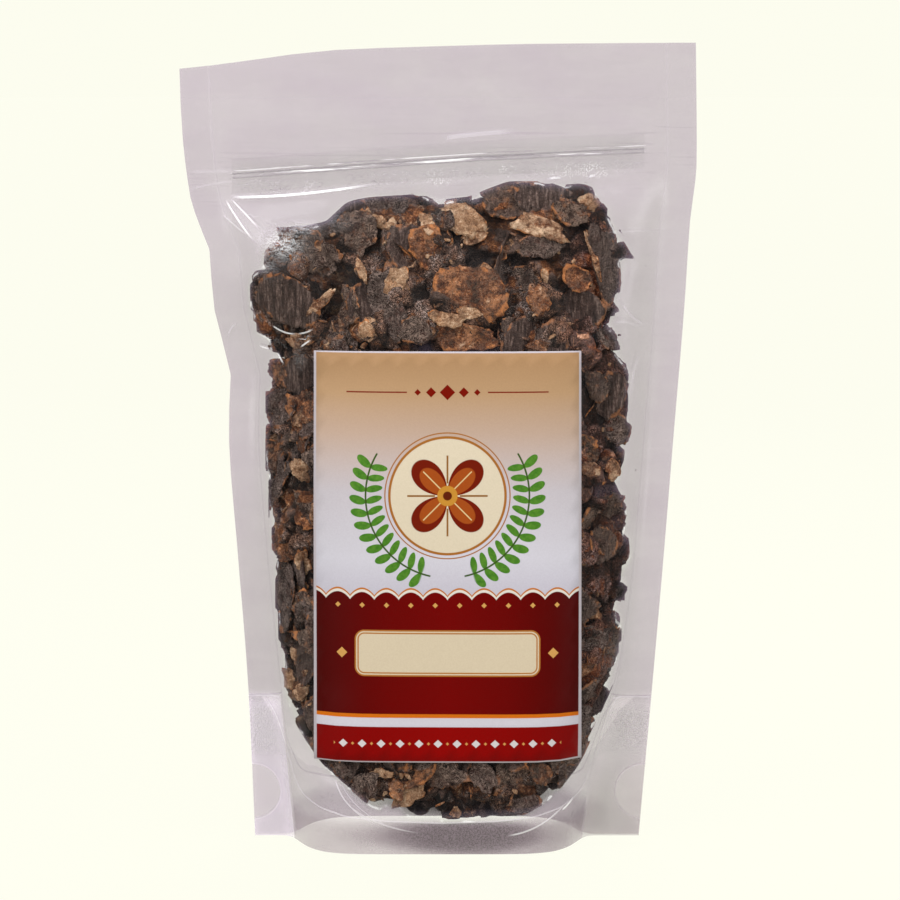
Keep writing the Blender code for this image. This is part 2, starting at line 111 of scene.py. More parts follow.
class Paint:  # a material with one Principled shader
    def __init__(self, name, **fixed):
        self.material = bpy.data.materials.new(name)
        self.material.use_nodes = True
        self.tree = self.material.node_tree
        self.shader = self.tree.nodes["Principled BSDF"]
        self.object = self.add("ShaderNodeTexCoord", out="Object")
        for name, value in fixed.items():
            self.shader.inputs[spaced(name)].default_value = value

    def add(self, kind, settings=None, out=0, **sockets):
        node = self.tree.nodes.new(kind)
        for name, value in (settings or {}).items():
            if name == "stops":
                setStops(node.color_ramp, value)
            else:
                setattr(node, name, value)
        for name, value in sockets.items():
            feed(self.tree, node.inputs[spaced(name)], value)
        return Wire(self.tree, node.outputs[out])

    def noise(self, place, scale, detail=4.0, roughness=0.55, distortion=0.0, out=0):
        return self.add("ShaderNodeTexNoise", out=out, Vector=place, Scale=scale, Detail=detail,
                        Roughness=roughness, Distortion=distortion)

    def cells(self, place, scale, feature="F1", out=0, randomness=1.0):
        return self.add("ShaderNodeTexVoronoi", {"feature": feature}, out=out, Vector=place, Scale=scale,
                        Randomness=randomness)

    def turned(self, place, scale=(1, 1, 1), turn=(0, 0, 0), move=(0, 0, 0)):
        return self.add("ShaderNodeMapping", Vector=place, Scale=scale, Rotation=turn, Location=move)

    def step(self, value, low, high, bottom=0.0, top=1.0):
        node = self.tree.nodes.new("ShaderNodeMapRange")
        node.interpolation_type = "SMOOTHSTEP"
        for slot, given in zip(node.inputs, (value, low, high, bottom, top)):
            feed(self.tree, slot, given)
        return Wire(self.tree, node.outputs[0])

    def colour(self, share, first, second, way="MIX"):
        node = self.tree.nodes.new("ShaderNodeMix")
        node.data_type = "RGBA"
        node.blend_type = way
        node.clamp_factor = True
        feed(self.tree, node.inputs[0], share)
        feed(self.tree, node.inputs[6], opaque(first))
        feed(self.tree, node.inputs[7], opaque(second))
        return Wire(self.tree, node.outputs[2])

    def ramp(self, share, stops):
        return self.add("ShaderNodeValToRGB", {"stops": stops}, Fac=share)

    def axes(self, place):
        node = self.tree.nodes.new("ShaderNodeSeparateXYZ")
        feed(self.tree, node.inputs[0], place)
        return [Wire(self.tree, socket) for socket in node.outputs]

    def vector(self, operation, *values, out=0):
        node = self.tree.nodes.new("ShaderNodeVectorMath")
        node.operation = operation
        for slot, value in zip(node.inputs, values):
            feed(self.tree, slot, value)
        return Wire(self.tree, node.outputs[out])

    def scaled(self, place, factor):
        node = self.tree.nodes.new("ShaderNodeVectorMath")
        node.operation = "SCALE"
        feed(self.tree, node.inputs[0], place)
        feed(self.tree, node.inputs[3], factor)
        return Wire(self.tree, node.outputs[0])

    def attribute(self, name):
        return self.add("ShaderNodeAttribute", {"attribute_name": name}, out="Fac")

    def relief(self, height, distance, strength=1.0, under=None):
        sockets = {"Height": height, "Distance": distance, "Strength": strength}
        if under is not None:
            sockets["Normal"] = under
        return self.add("ShaderNodeBump", **sockets)

    def show(self, **sockets):
        for name, value in sockets.items():
            feed(self.tree, self.shader.inputs[spaced(name)], value)
        return self.material


def spaced(name):  # BaseColor is the socket "Base Color"
    words = "".join(" " + letter if letter.isupper() and i else letter for i, letter in enumerate(name))
    return words.replace("I O R", "IOR")


def opaque(colour):
    return colour if isinstance(colour, Wire) or len(colour) == 4 else (*colour, 1.0)


def setStops(ramp, stops):
    while len(ramp.elements) > 1:
        ramp.elements.remove(ramp.elements[-1])
    ramp.elements[0].position, ramp.elements[0].color = stops[0][0], opaque(stops[0][1])
    for position, colour in stops[1:]:
        ramp.elements.new(position).color = opaque(colour)


# Mesh helpers

def pickOnly(piece):
    bpy.ops.object.select_all(action="DESELECT")
    piece.select_set(True)
    bpy.context.view_layer.objects.active = piece


def copyOfNode(node, name):
    piece = bpy.data.objects.new(name, cadNodes[node].data.copy())
    bpy.context.scene.collection.objects.link(piece)
    piece.data.materials.clear()
    pickOnly(piece)
    bpy.ops.object.mode_set(mode="EDIT")
    bpy.ops.mesh.select_all(action="SELECT")
    bpy.ops.mesh.remove_doubles(threshold=0.00001)
    bpy.ops.object.mode_set(mode="OBJECT")
    return piece


def modify(piece, kind, **settings):
    pickOnly(piece)
    modifier = piece.modifiers.new(kind.lower(), kind)
    for name, value in settings.items():
        setattr(modifier, name, value)
    bpy.ops.object.modifier_apply(modifier=modifier.name)


def pointsOf(piece):
    points = np.empty(len(piece.data.vertices) * 3)
    piece.data.vertices.foreach_get("co", points)
    return points.reshape(-1, 3)


def setPoints(piece, points):
    piece.data.vertices.foreach_set("co", np.ascontiguousarray(points, dtype=float).ravel())
    piece.data.update()


def setAttribute(piece, name, values):
    layer = piece.data.attributes.new(name, "FLOAT", "POINT")
    layer.data.foreach_set("value", np.ascontiguousarray(values, dtype=np.float32).ravel())


def treeOf(pieces):
    corners, faces = [], []
    for piece in pieces:
        start = len(corners)
        corners += [vertex.co.copy() for vertex in piece.data.vertices]
        faces += [[start + i for i in face.vertices] for face in piece.data.polygons]
    return BVHTree.FromPolygons(corners, faces)


def handOver(piece, material, nodes=()):
    piece.data.materials.clear()
    piece.data.materials.append(material)
    pickOnly(piece)
    bpy.ops.object.shade_smooth()
    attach(piece, "root")
    if nodes:
        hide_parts(*nodes)
    return piece


def smoothstep(low, high, x):
    t = np.clip((x - low) / (high - low), 0, 1)
    return t * t * (3 - 2 * t)


def blurred(grid, radius):  # a Gaussian blur of a grid, held at its edges
    reach = int(math.ceil(radius * 3))
    weights = np.exp(-0.5 * (np.arange(-reach, reach + 1) / radius) ** 2)
    weights /= weights.sum()
    for axis in (0, 1):
        grid = np.apply_along_axis(
            lambda row: np.convolve(np.pad(row, reach, mode="edge"), weights, mode="valid"), axis, grid)
    return grid


# Camera, light and floor

view = dict(distance=1.15, height=0.262, aimX=0.0041, aimZ=0.1345, frameWidth=0.3087, sensor=36.0)
lamps = dict(
    key=dict(place=(-0.95, -0.95, 0.85), size=(0.9, 1.3), power=21, aim=(0, 0, 0.13)),
    fill=dict(place=(1.05, -0.8, 0.55), size=(0.6, 1.2), power=11, aim=(0, 0, 0.13)),
    top=dict(place=(0.05, -0.3, 1.25), size=(1.1, 0.7), power=12, aim=(0, 0, 0.1)),
    back=dict(place=(0.3, 1.1, 0.8), size=(1.0, 0.8), power=6, aim=(0, 0, 0.13)),
)
studioTone = (0.98, 0.98, 0.865)
studioDim = 0.26  # how bright the walls are where only the pouch sees them


def cameraFrame():
    place = Vector((view["aimX"], -view["distance"], view["height"]))
    aim = Vector((view["aimX"], 0, view["aimZ"]))
    ahead = (aim - place).normalized()
    right = Vector((1, 0, 0))
    return place, aim, ahead, right, right.cross(ahead)


def rayThrough(across, down):  # through a point of the 900 by 900 picture
    place, aim, ahead, right, up = cameraFrame()
    grain = view["frameWidth"] / 900
    return place, (aim + right * (across - 450) * grain + up * (450 - down) * grain - place).normalized()


def makeCamera():
    place, aim, ahead, right, up = cameraFrame()
    camera = bpy.data.objects.new("camera", bpy.data.cameras.new("camera"))
    bpy.context.scene.collection.objects.link(camera)
    camera.data.sensor_width = view["sensor"]
    camera.location = place
    camera.rotation_euler = ahead.to_track_quat("-Z", "Y").to_euler()
    camera.data.lens = view["sensor"] * (aim - place).length / view["frameWidth"]
    camera.data.clip_start = 0.05
    bpy.context.scene.camera = camera


def makeLamps():
    for name, lamp in lamps.items():
        light = bpy.data.lights.new(name, "AREA")
        light.shape = "RECTANGLE"
        light.size, light.size_y = lamp["size"]
        light.energy = lamp["power"]
        holder = bpy.data.objects.new(name, light)
        bpy.context.scene.collection.objects.link(holder)
        holder.location = lamp["place"]
        holder.rotation_euler = (Vector(lamp["aim"]) - holder.location).to_track_quat("-Z", "Y").to_euler()
    world = bpy.data.worlds.new("studio")
    world.use_nodes = True
    bpy.context.scene.world = world
    seen = Wire(world.node_tree, world.node_tree.nodes.new("ShaderNodeLightPath").outputs["Is Camera Ray"])
    background = world.node_tree.nodes["Background"]
    background.inputs["Color"].default_value = opaque(studioTone)
    feed(world.node_tree, background.inputs["Strength"], seen * (1 - studioDim) + studioDim)


def makeFloor():  # a wide round floor, lit from within except under the pouch, so that it shows no horizon
    bpy.ops.object.select_all(action="DESELECT")
    bpy.ops.mesh.primitive_circle_add(vertices=96, radius=40, fill_type="NGON")
    floor = bpy.context.object
    floor.name = "floor"
    bpy.ops.object.mode_set(mode="EDIT")
    for radius in (10, 2, 0.5):
        bpy.ops.mesh.inset(thickness=0.01)
        bpy.ops.transform.resize(value=(radius / 40 if radius == 10 else radius / (10 if radius == 2 else 2),) * 3)
    bpy.ops.object.mode_set(mode="OBJECT")
    paint = Paint("floorPaper", Roughness=0.9, SpecularIORLevel=0.1, EmissionStrength=1.0)
    x, y, z = paint.axes(paint.object)
    away = (((x - 0.003) / 0.040) ** 2 + (y / 0.024) ** 2).root()  # 1 on an oval just inside the pouch's foot
    # partly painted shadow: the glow stops in an oval under the pouch, so the lamps' shadow shows only there
    lit = paint.step(away + paint.noise(paint.object, 60, detail=3) * 0.35, 0.55, 1.45, 0.30, 0.99)
    black = (0, 0, 0)
    floor.data.materials.append(paint.show(
        BaseColor=paint.colour(lit, [c * 0.8 for c in studioTone], black),
        EmissionColor=paint.colour(lit, black, studioTone)))


makeCamera()
makeLamps()
makeFloor()
bpy.context.scene.view_settings.view_transform = "Standard"
print("camera, lamps and floor made")


# The pouch's own lines, in millimetres, and the room inside its film

pouch = dict(
    leftWeld=((0, 14), (50, 11), (90, 10), (273, 10)),
    rightWeld=((0, 20), (25, 18), (60, 11.5), (90, 10), (273, 10)),
    seam=((0, 11), (350, 11.6), (600, 13), (780, 15.5), (880, 18), (940, 21), (1000, 31), (1070, 42), (1150, 49)),
    zipLine=((-88, 226.9), (-68, 228.2), (-6, 232.8), (14, 234.1), (72, 236.9), (88, 237.2)),
    heapTop=((-80, 205), (-64, 205), (-60, 211), (-44, 211), (-38, 212), (-31, 219), (-22, 221), (-7, 222), (1, 220),
             (10, 221), (17, 224), (24, 226.5), (37, 226.5), (41, 225), (49, 225.5), (56, 223), (61, 212), (66, 200),
             (80, 190)),
    notchRadius=9.6, notchHeight=15.5,
    heapFoot=((-70, 80), (-56, 58), (-49, 42), (-41.5, 33), (-35, 27), (-22.6, 16), (-13, 12.8), (0.7, 11.4),
              (28, 12.4), (36.7, 17), (48.7, 29), (54, 40), (60, 54), (70, 75)),  # how low the pulp reaches
    filmGap=0.9,  # from the outer face of the film to what lies inside it
)


def smoothLine(points, softness=14):
    places, values = np.array(points, dtype=float).T
    fine = np.linspace(places[0], places[-1], 600)
    reach = np.pad(np.interp(fine, places, values), softness * 3, mode="reflect", reflect_type="odd")
    weights = np.exp(-0.5 * (np.arange(-softness * 3, softness * 3 + 1) / softness) ** 2)
    soft = np.convolve(reach, weights / weights.sum(), mode="valid")
    return lambda value: np.interp(value, fine, soft)


def outermost(points, sign):
    kept = []
    for x, y, z in points[points[:, 0] * sign > 0.055]:
        near = points[(np.abs(points[:, 2] - z) < 0.004) & (points[:, 0] * sign > 0.05)]
        if x * sign >= (near[:, 0] * sign).max() - 0.0012:
            kept.append((z, x))
    return np.array(sorted(kept)).T / mm


def uppermost(points):
    kept = []
    for x, y, z in points[points[:, 2] > 0.25]:
        near = points[np.abs(points[:, 0] - x) < 0.003]
        if z >= near[:, 2].max() - 0.0006:
            kept.append((x, z))
    return np.array(sorted(kept)).T / mm


panelPoints = pointsOf(cadNodes["pouch_front_panel"])
leftSide, rightSide, topSide = outermost(panelPoints, -1), outermost(panelPoints, 1), uppermost(panelPoints)
leftWeld, rightWeld = smoothLine(pouch["leftWeld"]), smoothLine(pouch["rightWeld"])
seamLine, zipLine = smoothLine(pouch["seam"], 9), smoothLine(pouch["zipLine"])


def leftEdge(z):
    return np.interp(z, *leftSide)


def rightEdge(z):
    return np.interp(z, *rightSide)


def acrossPouch(x, z):  # -1 to 1 between the side welds
    low, high = leftEdge(z) + leftWeld(z), rightEdge(z) - rightWeld(z)
    return (2 * x - low - high) / (high - low)


def seamHeight(x):
    return seamLine(np.abs(acrossPouch(x, 25.0)) * 1000)


def castGrid(tree, side, x, z):  # how far out each place of a grid is, seen from the front (-1) or back (1)
    y = np.full(x.shape, np.nan)
    for place in np.ndindex(x.shape):
        hit = tree.ray_cast(Vector((x[place], side * 0.2, z[place])), Vector((0, -side, 0)))[0]
        if hit:
            y[place] = hit.y
    return y


def filled(grid):  # rows with holes take their neighbours' values
    for row in grid:
        good = ~np.isnan(row)
        if good.any() and not good.all():
            row[:] = np.interp(np.arange(len(row)), np.arange(len(row))[good], row[good])
    for column in grid.T:
        good = ~np.isnan(column)
        if not good.all():
            column[:] = np.interp(np.arange(len(column)), np.arange(len(column))[good], column[good])
    return grid


roomX, roomZ = np.arange(-88, 89.0, 1.0), np.arange(0, 274.0, 1.0)
gridX, gridZ = np.meshgrid(roomX * mm, roomZ * mm)
frontTree, backTree = treeOf([cadNodes["pouch_front_panel"]]), treeOf([cadNodes["pouch_back_panel"]])
frontFace = filled(castGrid(frontTree, -1, gridX, gridZ))
backFace = filled(castGrid(backTree, 1, gridX, gridZ))


def sampled(grid, x, z):  # between the places of the room's grid
    column = np.clip(np.asarray(x) / mm + 88, 0, len(roomX) - 1.001)
    row = np.clip(np.asarray(z) / mm, 0, len(roomZ) - 1.001)
    i, j = row.astype(int), column.astype(int)
    a, b = row - i, column - j
    return ((grid[i, j] * (1 - b) + grid[i, j + 1] * b) * (1 - a)
            + (grid[i + 1, j] * (1 - b) + grid[i + 1, j + 1] * b) * a)


roomWide = backFace - frontFace > 0.0042
roomLeft = np.array([gridX[0][row].min() if row.any() else -0.09 for row in roomWide])
roomRight = np.array([gridX[0][row].max() if row.any() else 0.09 for row in roomWide])


heapFoot = smoothLine(pouch["heapFoot"], 8)
heapTop = smoothLine(pouch["heapTop"], 4)


def kept(points, gap=pouch["filmGap"] * mm):  # held inside the film, above the heap's foot and below its top
    points = points.copy()
    foot = heapFoot(points[:, 0] / mm) * mm
    low = points[:, 2] < foot
    points[low, 2] = foot[low] + (points[low, 2] - foot[low]) * 0.12
    top = heapTop(points[:, 0] / mm) * mm
    high = points[:, 2] > top
    points[high, 2] = top[high] + (points[high, 2] - top[high]) * 0.15
    height = np.clip(points[:, 2] / mm, 0, 272).astype(int)
    points[:, 0] = np.clip(points[:, 0], roomLeft[height] + 0.001, roomRight[height] - 0.001)
    front = sampled(frontFace, points[:, 0], points[:, 2]) + gap
    back = sampled(backFace, points[:, 0], points[:, 2]) - gap
    points[:, 1] = np.clip(points[:, 1], front, np.maximum(back, front + 0.0004))
    return points


print("room inside the film measured")


# Pulp: each lump of the solid model gets torn, matted and layered

pulp = dict(
    voxel=0.00095, grow=0.0022, base=0.0001, plates=0.0024, plateSize=(60, 66, 84), rolls=0.0010, rollSize=42,
    grain=0.00042, grainSize=420, smear=0.0007,
)


def tornField(place):
    # plates that overlap like scales: how far out, how near a plate's edge, and the plate's own number
    warp = noise.noise_vector(place * 110) * 0.30 + noise.noise_vector(place * 420) * 0.07
    spot = Vector((place.x * pulp["plateSize"][0], place.y * pulp["plateSize"][1], place.z * pulp["plateSize"][2])) + warp
    distances, centres = noise.voronoi(spot)
    luck = noise.cell_vector(centres[0] * 5.7)
    tilt = (spot - centres[0]).dot((luck - Vector((0.5, 0.5, 0.5))) * 2.2)
    level = min(max(0.5 + tilt * 0.8 + (luck.x - 0.5) * 0.7, 0), 1)
    return level, distances[1] - distances[0], luck.y


def tornPoints(points, normals, settings, seed=0.0):
    shifted = Vector((seed, seed * 0.37, -seed * 0.61))
    moved, depth, number = np.empty_like(points), np.empty(len(points)), np.empty(len(points))
    for i, (point, normal) in enumerate(zip(points, normals)):
        place = Vector(point) + shifted
        outward = Vector(normal)
        level, edge, luck = tornField(place)
        roll = noise.fractal(place * settings["rollSize"], 0.8, 2.1, 3)
        grain = noise.fractal(place * settings["grainSize"], 0.6, 2.2, 3)
        crease = math.exp(-(edge / 0.09) ** 2)
        sunk = (settings["plates"] * (1 - level) + settings["rolls"] * min(max(0.5 - roll * 0.7, 0), 1.3)
                + 0.0009 * crease + settings["grain"] * (0.5 - grain))
        side = 1 - abs(outward.y) ** 1.5
        under = 1 - smoothstep(0.2, 0.7, -outward.z)
        grown = settings["grow"] * side * under
        smear = noise.noise_vector(place * 190) * settings["smear"]
        moved[i] = Vector(point) + outward * (grown - settings["base"] - sunk) + smear
        depth[i] = min(1.0, sunk / (settings["plates"] + settings["rolls"]))
        number[i] = luck
    return moved, depth, number


def normalsOf(piece):
    normals = np.empty(len(piece.data.vertices) * 3)
    piece.data.vertices.foreach_get("normal", normals)
    return normals.reshape(-1, 3)


def makePulp(paint):
    pieces = []
    for node in pulpNodes:
        piece = copyOfNode(node, node.replace("pulp_", "torn_pulp_"))
        smooth = node == "pulp_side_scrap"
        modify(piece, "REMESH", mode="VOXEL", voxel_size=pulp["voxel"])
        modify(piece, "SMOOTH", factor=0.5, iterations=3)
        settings = dict(pulp, plates=0.0012, rolls=0.0016, grain=0.0003) if smooth else pulp
        points, depth, number = tornPoints(pointsOf(piece), normalsOf(piece), settings)
        setPoints(piece, kept(points))
        setAttribute(piece, "depth", depth)
        setAttribute(piece, "number", number)
        pieces.append(handOver(piece, paint, [node]))
    print("lumps torn:", len(pieces), "pieces,", sum(len(p.data.polygons) for p in pieces) * 2, "triangles")
    return pieces


def millimetres(paint):
    return paint.scaled(paint.object, 1000)


def fibreField(paint, place, seed):
    # matted hairs: lays of stretched noise cut into fine lines, each lay in its own patches, over a soft ground
    bend = paint.vector("SUBTRACT", paint.noise(place, 0.2, detail=2, out=1), (0.5, 0.5, 0.5))
    bent = paint.vector("ADD", place, paint.scaled(bend, 11))
    hairs, ground = None, None
    for turn in ((0.4 + seed, 0.3, 0.5), (1.3, seed + 0.9, 2.1), (0.2, 1.5 + seed, 1.0)):
        lay = paint.turned(paint.turned(bent, turn=turn), scale=(0.95, 0.95, 0.2))
        value = paint.noise(lay, 1.0, detail=1, roughness=0.5)
        patch = paint.step(paint.noise(paint.turned(place, move=turn), 0.3, detail=2), 0.42, 0.52, 0.1, 1.0)
        thin = paint.step(((value * 5).repeat() - 0.5).size(), 0.03, 0.26, 1.0, 0.0) * patch
        hairs = thin if hairs is None else hairs.most(thin)
        ground = value if ground is None else ground + value
    return hairs, ground / 3


def pulpPaint():
    paint = Paint("pulpFlesh", Roughness=0.6, SpecularIORLevel=0.17)
    place = millimetres(paint)
    hairs, ground = fibreField(paint, place, 0.0)
    depth, number = paint.attribute("depth"), paint.attribute("number")
    broad = paint.noise(place, 0.085, detail=4, roughness=0.6, distortion=0.5)
    flecks = paint.noise(place, 0.27, detail=5, roughness=0.68, distortion=1.2)
    fine = paint.noise(place, 3.4, detail=3, roughness=0.7)
    mat = paint.ramp(ground * 0.6 + fine * 0.4, ((0.41, (0.0020, 0.0005, 0.0003)), (0.5, (0.013, 0.0048, 0.0030)),
                                                 (0.58, (0.062, 0.029, 0.020))))
    grey = paint.colour(paint.step(broad, 0.38, 0.62), (0.38, 0.200, 0.134), (0.52, 0.41, 0.375))
    tone = paint.colour(hairs * paint.step(fine, 0.42, 0.56, 0.02, 0.95), mat, grey)
    rust = paint.ramp(ground * 0.5 + fine * 0.5, ((0.39, (0.014, 0.0026, 0.0008)), (0.5, (0.090, 0.026, 0.009)),
                                                  (0.60, (0.36, 0.15, 0.062))))
    husk = paint.ramp(ground * 0.5 + fine * 0.5, ((0.39, (0.060, 0.022, 0.008)), (0.5, (0.25, 0.135, 0.075)),
                                                  (0.60, (0.56, 0.38, 0.255))))
    leather = paint.colour(paint.step(ground * 0.6 + broad * 0.4, 0.38, 0.62), (0.010, 0.0040, 0.0028), (0.15, 0.092, 0.076))
    leather = paint.colour(hairs * 0.22, leather, (0.25, 0.18, 0.15))
    smooth = paint.step(number + (broad - 0.5) * 0.8, 0.62, 0.74)
    tone = paint.colour(smooth * 0.85, tone, leather)
    rusty = paint.step(broad + number * 0.16, 0.60, 0.68).most(paint.step(flecks, 0.56, 0.62) * 0.85)
    tan = paint.step(number * 0.35 + flecks, 0.84, 0.89)
    tone = paint.colour(rusty, tone, rust)
    tone = paint.colour(tan, tone, husk)
    x, y, z = paint.axes(place)
    shade = paint.step(depth, 0.25, 0.9, 1.3, 0.16) * paint.step(z, 20, 120, 0.70, 1.0)  # painted shade: darker where the surface is sunk and towards the foot
    # painted light: the left side lighter, where the key lamp stands
    shade = shade * paint.step(x, -56, -42, 1.4, 1.0)
    # painted shade on the right side, tinted redder
    redderRightShade = shade * paint.step(x, 38, 50, 1.0, 0.8)
    tone = paint.colour(1.0, tone, paint.add("ShaderNodeCombineXYZ", X=shade, Y=redderRightShade, Z=redderRightShade), "MULTIPLY")
    bump = paint.relief(hairs * (1 - smooth * 0.8) * 1.4 + ground + fine * 0.6, 0.0008, 0.9)
    return paint.show(BaseColor=tone, Normal=bump, Roughness=0.72 - smooth * 0.38 + hairs * 0.1)


pulpMaterial = pulpPaint()
pulpPieces = makePulp(pulpMaterial)
pulpTree = treeOf(pulpPieces)


# Film: two panels that cling to the pulp, each a fine grid laid over its CAD panel

film = dict(
    columns=188, rows=286, smoothing=3.0,
    sag=0.0024, cling=0.0005,
    creases=(  # start, middle and end in the picture's points, width and height in mm, how bright its painted highlight is
        ((228, 197), (300, 194), (388, 182), 0.72, 0.8, 1.0), ((225, 199), (240, 222), (258, 244), 0.55, 0.4, 0.7),
        ((230, 198), (246, 214), (263, 231), 0.5, 0.3, 0.55), ((222, 214), (236, 226), (250, 236), 0.4, 0.2, 0.4),
        ((548, 179), (556, 178), (563, 178), 0.6, 0.3, 0.6), ((588, 178), (592, 176), (597, 176), 0.6, 0.3, 0.5),
        ((440, 139), (480, 134), (522, 131), 1.3, 0.3, 0.3), ((272, 324), (285, 331), (300, 332), 0.5, 0.3, 0.9),
        ((299, 332), (308, 330), (315, 326), 0.5, 0.3, 0.8), ((278, 352), (281, 358), (285, 364), 0.5, 0.3, 0.8),
        ((259, 346), (265, 348), (271, 349), 0.45, 0.2, 0.7), ((302, 345), (307, 341), (313, 337), 0.5, 0.3, 0.9),
        ((236, 324), (230, 330), (226, 340), 0.5, 0.2, 0.35), ((620, 300), (634, 318), (650, 326), 0.7, 0.15, 0.22),
        ((612, 322), (628, 322), (645, 330), 0.6, 0.15, 0.2), ((640, 352), (632, 380), (630, 410), 0.7, 0.15, 0.2),
        ((337, 762), (352, 790), (386, 812), 0.4, 0.2, 0.4), ((341, 762), (362, 792), (404, 816), 0.3, 0.2, 0.25),
        ((350, 788), (380, 806), (425, 817), 0.4, 0.2, 0.35), ((505, 819), (540, 808), (572, 783), 0.45, 0.2, 0.5),
        ((560, 797), (566, 793), (573, 786), 0.6, 0.2, 0.8), ((190, 172), (215, 172), (240, 171), 0.8, 0.1, 0.2),
        ((188, 190), (215, 184), (242, 181), 0.6, 0.1, 0.2), ((600, 232), (640, 231), (675, 230), 0.5, 0.1, 0.14),
    ),
    glares=(((283, 243), 8, 6, 0.75), ((300, 228), 7, 3, 0.5), ((268, 262), 4, 5, 0.4), ((340, 222), 5, 2.5, 0.25),
            ((612, 655), 3, 10, 0.25), ((300, 356), 2.5, 5, 0.3)),  # point, half width and height in mm, how strong
)


def panelGrid():
    share = np.linspace(0, 1, film["columns"])
    rise = np.linspace(0, 1, film["rows"])
    across, up = np.meshgrid(share, rise)
    z = up * 272
    for _ in range(6):
        left, right = leftEdge(z), rightEdge(z)
        x = left + (right - left) * across
        z = up * np.interp(x, *topSide)
    return x * mm, z * mm


def spotsOnPlane(across, down):  # where a point of the picture meets the plane y = -0.004
    place, ahead = rayThrough(across, down)
    reach = (-0.004 - place.y) / ahead.y
    spot = place + ahead * reach
    return np.array((spot.x / mm, spot.z / mm))


def creaseFields(x, z):  # signed distance to the creases, in three channels so that neighbours don't mix
    channels = [[np.full(x.shape, 99.0), np.full(x.shape, 99.0), np.zeros(x.shape)] for _ in range(3)]
    lift = np.zeros(x.shape)
    for number, (start, middle, end, width, height, shine) in enumerate(film["creases"]):
        best, signed, bright = channels[number % 3]
        a, b, c = (spotsOnPlane(*point) for point in (start, middle, end))
        t = np.linspace(0, 1, 16)[:, None]
        line = a * (1 - t) ** 2 + (2 * b - (a + c) / 2) * 2 * t * (1 - t) + c * t ** 2
        for k in range(15):
            p, q = line[k], line[k + 1]
            run = q - p
            share = np.clip(((x - p[0]) * run[0] + (z - p[1]) * run[1]) / (run @ run), 0, 1)
            gapX, gapZ = x - p[0] - share * run[0], z - p[1] - share * run[1]
            distance = np.hypot(gapX, gapZ)
            nearer = distance < best
            side = np.where(gapX * -run[1] + gapZ * run[0] < 0, -1, 1)
            along = (k + share) / 15
            fade = smoothstep(0, 0.15, along) * smoothstep(1, 0.7, along)
            signed[nearer] = (distance * side * 0.55 / width)[nearer]
            bright[nearer] = (fade * shine)[nearer]
            lift = np.maximum(lift, height * fade * np.exp(-(distance / (width * 1.3)) ** 2))
            best[nearer] = distance[nearer]
    return channels, lift


def glareField(x, z):
    strength = np.zeros(x.shape)
    for point, wide, high, strong in film["glares"]:
        centre = spotsOnPlane(*point)
        strength = np.maximum(strength, strong * np.exp(-((x - centre[0]) / wide) ** 2 - ((z - centre[1]) / high) ** 2))
    return strength


def ripples(x, z, free):  # the slight waves of film that nothing pushes against
    waves = np.zeros(x.shape)
    for place in np.ndindex(x.shape):
        if free[place] > 0.02:
            spot = Vector((x[place] * 0.028, 0.0, z[place] * 0.05))
            waves[place] = noise.fractal(spot, 0.9, 2.1, 3) * 0.55 + noise.noise(
                Vector((x[place] * 0.16, 4.0, z[place] * 0.07))) * 0.16
    return waves * free


